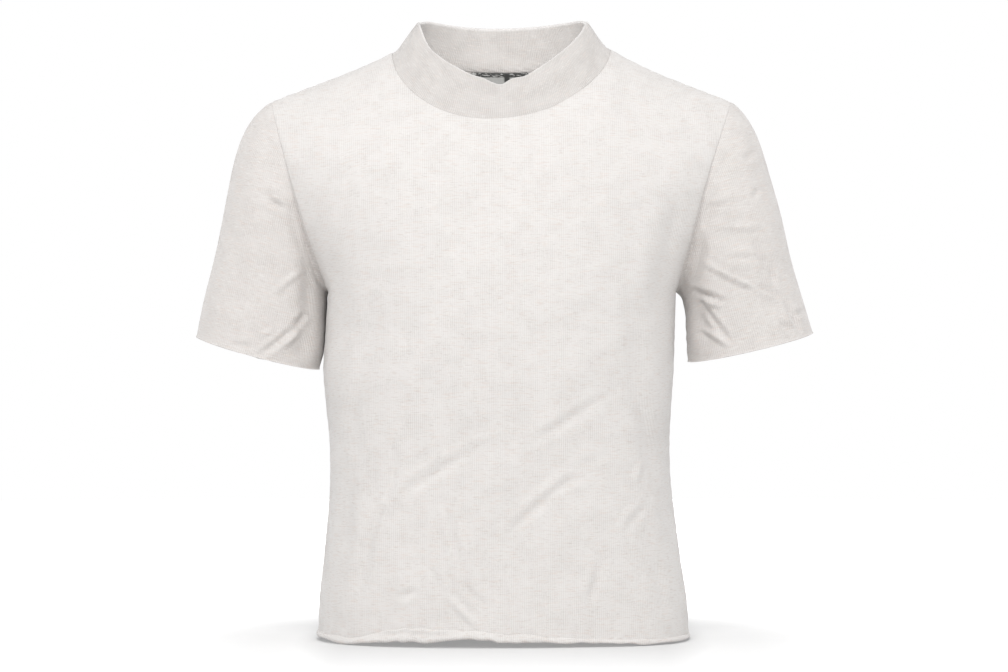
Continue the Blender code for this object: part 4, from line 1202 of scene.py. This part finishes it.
def band_piece(name, material):
    """The neckband as one ring of folded cloth.

    Each wall runs straight from the neck seam to the top edge with a slight hollow,
    and the fold between them is a half circle as thick as the two layers. The cloth's
    hidden face lies inside it, a layer's thickness in from the outer one.
    """
    u = np.linspace(-NECK_SHARE, NECK_SHARE, BAND_HALF + 1)[None, :]
    top_v = np.array([[1.0]])
    edges = [panel_points(panel, u, top_v)[0] for panel in ("front", "back")]
    base = ring_of(*edges)
    inward = neck_rim(base)
    plan = unit(base * np.array([1.0, 1.0, 0.0]))
    rise = unit(np.cross(np.cross(inward, plan), inward))
    rise = rise * np.sign(rise[:, 2:])
    start = base + rise * SEAM_GAP

    turn = np.linspace(-np.pi / 2, np.pi / 2, BAND_HALF + 1)
    across = np.sin(np.concatenate([turn, -turn[1:-1]]))
    is_front = np.arange(len(across)) <= BAND_HALF
    end_y = np.where(is_front, BAND_TOP_FRONT, BAND_TOP_BACK)
    ahead = (1 - np.abs(across) ** BAND_SQUARENESS) ** (1 / BAND_SQUARENESS)
    half_top = by_side(across, BAND_TOP_HALF_WIDTH["right"], BAND_TOP_HALF_WIDTH["left"])
    rim = np.where(is_front, through(BAND_RIM, 1, across), through(BAND_RIM_BACK, 1, across))
    depth = BAND_TOP_SIDE + (end_y - BAND_TOP_SIDE) * ahead
    top = np.stack([half_top * across, depth, rim], axis=-1)
    half_cloth = BAND_CLOTH / 2
    length = np.linalg.norm(top - start, axis=-1)
    reach = (1 - half_cloth / length)[None, :, None]
    t = crowded(BAND_ROWS[0], *BAND_CROWD)[:, None, None]
    side_hollow = by_side(across, BAND_HOLLOW["right"], BAND_HOLLOW["left"])
    hollow = BAND_HOLLOW["front"] + (side_hollow - BAND_HOLLOW["front"]) * across**4
    climbed = t * reach
    hollow = hollow[None, :, None] * (1 - climbed) * (1 - np.exp(-climbed / BAND_HOLLOW_NEAR))
    wall = start * (1 - t * reach) + top * t * reach - plan * hollow
    normals = grid_normals(wall, closed=True)
    climb = run_of(wall, 0)
    run = run_of(wrapped(wall), 1)
    height = waves_at(wall, BAND_WAVES) * np.clip(t[..., 0] * BAND_FADE, 0.0, 1.0)
    height = height + seam_relief(climb, run[:, :-1])
    wall = wall + normals * height[..., None]
    normals = grid_normals(wall, closed=True)
    far_wall = wall + into_seam(-normals, inward[None], climb) * BAND_CLOTH
    middle = (wall[-1] + far_wall[-1]) / 2
    out = unit(wall[-1] - far_wall[-1])
    up = unit(np.cross(out, np.cross(wall[-1] - wall[-2], out)))
    bend = np.linspace(0.0, np.pi, 2 * BAND_ROWS[1] + 1)[1:-1, None, None]
    fold = middle + half_cloth * (np.cos(bend) * out + np.sin(bend) * up)
    outer = np.concatenate([wall, fold, far_wall[::-1]])
    between = (wall + far_wall) / 2
    between = np.concatenate([between, np.broadcast_to(middle, fold.shape), between[::-1]])
    inner = between + (outer - between) * (1 - BAND_LAYER / half_cloth)

    # The ribs are counted at the seam, so that a whole number of them goes round.
    base_run = run_of(wrapped(base[None]), 1)[0]
    ribs = np.round(base_run[-1] / RIB_WIDTH)
    flat_x = base_run / base_run[-1] * ribs * RIB_WIDTH
    up_run = wrapped(run_of(outer, 0))
    flat = np.stack([np.broadcast_to(flat_x, up_run.shape), up_run], axis=-1)
    to_seam = np.minimum(up_run, up_run[-1:] - up_run)
    seam = np.stack([to_seam, up_run[-1:] / 2 - to_seam], axis=-1)
    return make_wall(name, outer, inner, flat, seam, True, material)


# Painted shade: the band is the body's knit, with its yarn painted darker to stand for the shade
# it is in. Its fold has a painted highlight and its seam painted shade.
SHADED_BAND_YARN = (0.592, 0.571, 0.553, 1.0)
band_knit = knit_material(
    "oatmeal_band_rib_shaded", SHADED_BAND_YARN, 0.50, 0.33, 0.00030, 0.16, (0.0034, 0.75)
)
neckband_cloth = band_piece("neckband_cloth", band_knit)
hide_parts("neckband")
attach(neckband_cloth, "root")

# ---------------------------------------------------------------------------
# Neck label
# A small pale woven tape without any mark, sewn flat to the inside of the back just
# under the neck seam. Its top edge carries an uneven charcoal band.

LABEL_SPAN = (-0.191, 0.150)  # from its right end to its left, in shares of the neckline
LABEL_SHARES = (0.005, 0.0767)  # from its top down, in shares of the back above the underarm
LABEL_CLOTH = 0.0008
LABEL_GAP = 0.0010  # from the smooth back's inner face, which is uneven in the end
LABEL_GRID = (30, 44)
THREAD_BUMP = 0.00008
# The charcoal band begins between two shares of its height, and of its length.
CHARCOAL_BAND_UP = (0.75, 0.80)
CHARCOAL_BAND_ACROSS = (0.04, 0.09)
CHARCOAL_GRAIN = (0.0030, 0.0014, 0.40, 0.48)  # the size of their noise, none below, all above
# A charcoal patch lower down. It comes in, goes out and begins upwards between these shares.
CHARCOAL_PATCH_FROM, CHARCOAL_PATCH_TO, CHARCOAL_PATCH_UP = (0.56, 0.60), (0.66, 0.70), (0.46, 0.54)
CHARCOAL = (0.035, 0.036, 0.034, 1.0)

label_u = np.linspace(*LABEL_SPAN, LABEL_GRID[1] + 1)[None, :] * NECK_SHARE
label_v = 1 - np.linspace(LABEL_SHARES[1], LABEL_SHARES[0], LABEL_GRID[0] + 1)[:, None]
label_face = panel_points("back", label_u, label_v)
label_out = grid_normals(label_face, closed=False)
label_out = label_out * np.sign(label_out[..., 1:2])
label_outer = label_face - label_out * (CLOTH + LABEL_GAP)
label_inner = label_outer - label_out * LABEL_CLOTH
label_x, label_y = run_of(label_face, 1), run_of(label_face, 0)
label_flat = np.stack([label_x, label_y], axis=-1)
label_spot = np.stack([label_x / label_x[:, -1:], label_y / label_y[-1:]], axis=-1)

weave, weave_in, weave_out = new_group(
    "satin_weave",
    (
        ("Cloth", "NodeSocketVector", None),
        ("Thread", "NodeSocketFloat", 0.00028),
        ("Low", "NodeSocketColor", (0.36, 0.36, 0.35, 1.0)),
        ("High", "NodeSocketColor", (0.60, 0.60, 0.58, 1.0)),
    ),
    (("Color", "NodeSocketColor"), ("Height", "NodeSocketFloat")),
)
weave_x, weave_y = across_and_up(weave_in["Cloth"])
warp = calc("DIVIDE", weave_x, weave_in["Thread"])
weft = calc("DIVIDE", weave_y, weave_in["Thread"])
over = calc("SINE", calc("MULTIPLY", calc("MULTIPLY_ADD", weft, 0.25, warp), np.pi))
under = calc("SINE", calc("MULTIPLY", weft, np.pi))
thread_height = calc("MULTIPLY_ADD", calc("MULTIPLY", over, under), 0.5, 0.5)
woven = blend_colours(thread_height, weave_in["Low"], weave_in["High"])
weave.links.new(woven, weave_out["Color"])
weave.links.new(thread_height, weave_out["Height"])

woven_label, label_tree = new_material("woven_tape")
label_map, spot_map = uv_places(label_tree)
tape = add_node(label_tree, "ShaderNodeGroup", {"Cloth": label_map}, node_tree=weave)
share_across, share_up = across_and_up(spot_map)
charcoal_band = calc("MULTIPLY", steps(share_up, *CHARCOAL_BAND_UP), steps(share_across, *CHARCOAL_BAND_ACROSS))
charcoal_grain = steps(speckle(label_map, *CHARCOAL_GRAIN[:2], 2.0, 0.5), *CHARCOAL_GRAIN[2:])
charcoal_band = calc("MULTIPLY", charcoal_band, charcoal_grain)
charcoal_patch = steps(share_across, *CHARCOAL_PATCH_FROM)
charcoal_patch = calc("MULTIPLY", charcoal_patch, calc("SUBTRACT", 1.0, steps(share_across, *CHARCOAL_PATCH_TO)))
charcoal_patch = calc("MULTIPLY", charcoal_patch, steps(share_up, *CHARCOAL_PATCH_UP))
label_bump = {"Height": tape.outputs["Height"], "Distance": THREAD_BUMP}
label_finish = {
    "Base Color": blend_colours(calc("MAXIMUM", charcoal_band, charcoal_patch), tape.outputs["Color"], CHARCOAL),
    "Normal": add_node(label_tree, "ShaderNodeBump", label_bump).outputs["Normal"],
    "Roughness": 0.6,
    "Sheen Weight": 0.1,
}
set_inputs(label_tree.nodes["Principled BSDF"], label_finish)

label_grids = (grid[:, ::-1] for grid in (label_outer, label_inner, label_flat, label_spot))
label_tape = make_wall("label_tape", *label_grids, False, woven_label)
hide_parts("neck_label")
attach(label_tape, "root")

# ---------------------------------------------------------------------------
# Studio
# A white floor just under the hem with painted light round it, an even white room, a
# broad soft light from the front and above, and the camera at the photograph's angle.

FLOOR = -0.5120
FLOOR_RADIUS = 3.0
FLOOR_RINGS, FLOOR_SIDES = 24, 96
FLOOR_GREYS = (0.66, 0.68)
# Painted light: white that the floor adds for the camera only, set by place. It is least
# just in front of the hem and grows away from it, which paints the floor's soft shade
# there, and it lightens the real shade under and beside the hem.
FLOOR_UNDER = (0.90, 1.12, 0.28)  # inside the hem's oval: full to, none from, how much
FLOOR_AHEAD = (0.020, 0.78)  # in front of it: from, how much a metre
FLOOR_AHEAD_LIMITS = (0.06, 0.225)  # and at least and at most this much
FLOOR_BESIDE = (0.132, 0.188, 0.20)  # beside it: from, to, how much
FLOOR_NEAR_MOST = 0.25  # and at most this much in all, near the hem
FLOOR_FAR = (0.20, 0.50, 0.75)  # far from it, to the sides and behind: from, to, how much
WHITE = (1.0, 1.0, 1.0, 1.0)
ROOM_LIGHT = 0.79
LAMPS = (
    # watts, place,              aimed at,             width
    (36.4, (-0.10, -2.1, 1.9), (0.0, 0.0, -0.25), 1.6),
    (21.6, (-0.04, -3.2, 0.0), (0.0, 0.0, -0.25), 1.6),
    (5.6, (-2.4, -0.5, 0.2), (0.0, 0.0, -0.25), 1.2),
    (4.8, (2.4, -0.5, 0.2), (0.0, 0.0, -0.25), 1.2),
    (0.066, (0.006, -0.035, -0.06), (0.006, 0.05, 0.0), 0.06),
)
CAMERA_PLACE = (0.0004, -3.5, -0.2476)
CAMERA_LENS = 142.9

ring_reach = FLOOR_RADIUS * np.linspace(0.0, 1.0, FLOOR_RINGS + 1)[1:, None]
ring_turn = np.linspace(0.0, 2 * np.pi, FLOOR_SIDES + 1)[None, :-1]
floor_points = [ring_reach * np.cos(ring_turn), ring_reach * np.sin(ring_turn)]
floor_points = np.stack([*floor_points, FLOOR + 0 * ring_reach * ring_turn], axis=-1)
floor_at = np.arange(FLOOR_RINGS * FLOOR_SIDES).reshape(FLOOR_RINGS, FLOOR_SIDES)
floor_at = wrapped(floor_at)
floor_quads = [floor_at[:-1, :-1], floor_at[1:, :-1], floor_at[1:, 1:], floor_at[:-1, 1:]]
floor_quads = np.stack(floor_quads, axis=-1).reshape(-1, 4).tolist()
floor_mesh = bpy.data.meshes.new("floor")
floor_faces = floor_quads + [floor_at[0, :-1].tolist()]
floor_mesh.from_pydata(floor_points.reshape(-1, 3).tolist(), [], floor_faces)
floor_disc = bpy.data.objects.new("floor", floor_mesh)
bpy.context.scene.collection.objects.link(floor_disc)

pale_floor, floor_tree = new_material("pale_floor")
on_floor = add_node(floor_tree, "ShaderNodeTexCoord").outputs["Object"]
floor_grain = add_node(floor_tree, "ShaderNodeTexNoise", {"Vector": on_floor, "Scale": 40.0})
floor_low, floor_high = ((grey, grey, grey, 1.0) for grey in FLOOR_GREYS)
floor_x, floor_y = across_and_up(on_floor)
floor_x = calc("ABSOLUTE", floor_x)
hem_side, (_, hem_front, _, hem_power) = WIDTHS[0][1], DEPTHS[0]
hem_oval = calc(
    "ADD",
    calc("POWER", calc("DIVIDE", floor_x, hem_side), hem_power),
    calc("POWER", calc("DIVIDE", calc("ABSOLUTE", floor_y), hem_front), hem_power),
)
painted_light_under_hem = calc("SUBTRACT", 1.0, steps(hem_oval, *FLOOR_UNDER[:2]))
painted_light_under_hem = calc("MULTIPLY", painted_light_under_hem, FLOOR_UNDER[2])
painted_light_beside_hem = calc("MULTIPLY", steps(floor_x, *FLOOR_BESIDE[:2]), FLOOR_BESIDE[2])
ahead_from, ahead_slope = FLOOR_AHEAD
ahead_least, ahead_most = FLOOR_AHEAD_LIMITS
painted_light_ahead_of_hem = calc("MULTIPLY_ADD", floor_y, -ahead_slope, -ahead_slope * ahead_from)
painted_light_ahead_of_hem = calc("MINIMUM", calc("MAXIMUM", painted_light_ahead_of_hem, ahead_least), ahead_most)
painted_light_near_hem = calc("MINIMUM", calc("ADD", painted_light_ahead_of_hem, painted_light_beside_hem), FLOOR_NEAR_MOST)
behind = calc("MAXIMUM", floor_y, 0.0)
away = calc("SQRT", calc("MULTIPLY_ADD", floor_x, floor_x, calc("MULTIPLY", behind, behind)))
painted_light_far_from_hem = calc("MULTIPLY", steps(away, *FLOOR_FAR[:2]), FLOOR_FAR[2])
# Painted light: the camera sees the floor lit by place and not by the lamps, so its shade round
# the hem is partly painted.
painted_floor_light = calc("ADD", calc("MAXIMUM", painted_light_under_hem, painted_light_near_hem), painted_light_far_from_hem)
floor_seen = add_node(floor_tree, "ShaderNodeLightPath").outputs["Is Camera Ray"]
floor_finish = {
    "Base Color": blend_colours(floor_grain.outputs["Fac"], floor_low, floor_high),
    "Roughness": 1.0,
    "Specular IOR Level": 0.0,
    "Emission Color": calc("MULTIPLY", painted_floor_light, floor_seen),
    "Emission Strength": 1.0,
}
set_inputs(floor_tree.nodes["Principled BSDF"], floor_finish)
floor_mesh.materials.append(pale_floor)

room = bpy.data.worlds.new("white_room")
bpy.context.scene.world = room
room.use_nodes = True
room_tree = room.node_tree
room_fill = room_tree.nodes["Background"]
set_inputs(room_fill, {"Color": WHITE, "Strength": ROOM_LIGHT})
room_seen = add_node(room_tree, "ShaderNodeBackground", {"Color": WHITE})
room_rays = add_node(room_tree, "ShaderNodeLightPath").outputs["Is Camera Ray"]
room_mix = {0: room_rays, 1: room_fill.outputs[0], 2: room_seen.outputs[0]}
room_mix = add_node(room_tree, "ShaderNodeMixShader", room_mix)
room_tree.links.new(room_mix.outputs[0], room_tree.nodes["World Output"].inputs["Surface"])

for number, (power, place, target, width) in enumerate(LAMPS):
    lamp = bpy.data.lights.new(f"lamp_{number}", "AREA")
    lamp.shape, lamp.size, lamp.energy = "DISK", width, power
    lamp_rig = bpy.data.objects.new(f"lamp_{number}", lamp)
    lamp_rig.location = place
    lamp_rig.rotation_euler = (Vector(target) - Vector(place)).to_track_quat("-Z", "Y").to_euler()
    lamp_rig.visible_camera = False
    bpy.context.scene.collection.objects.link(lamp_rig)

camera = bpy.data.cameras.new("camera")
camera.lens = CAMERA_LENS
camera_rig = bpy.data.objects.new("camera", camera)
camera_rig.location = CAMERA_PLACE
camera_rig.rotation_euler = (np.pi / 2, 0.0, 0.0)
bpy.context.scene.collection.objects.link(camera_rig)
bpy.context.scene.camera = camera_rig
bpy.context.scene.view_settings.view_transform = "Standard"
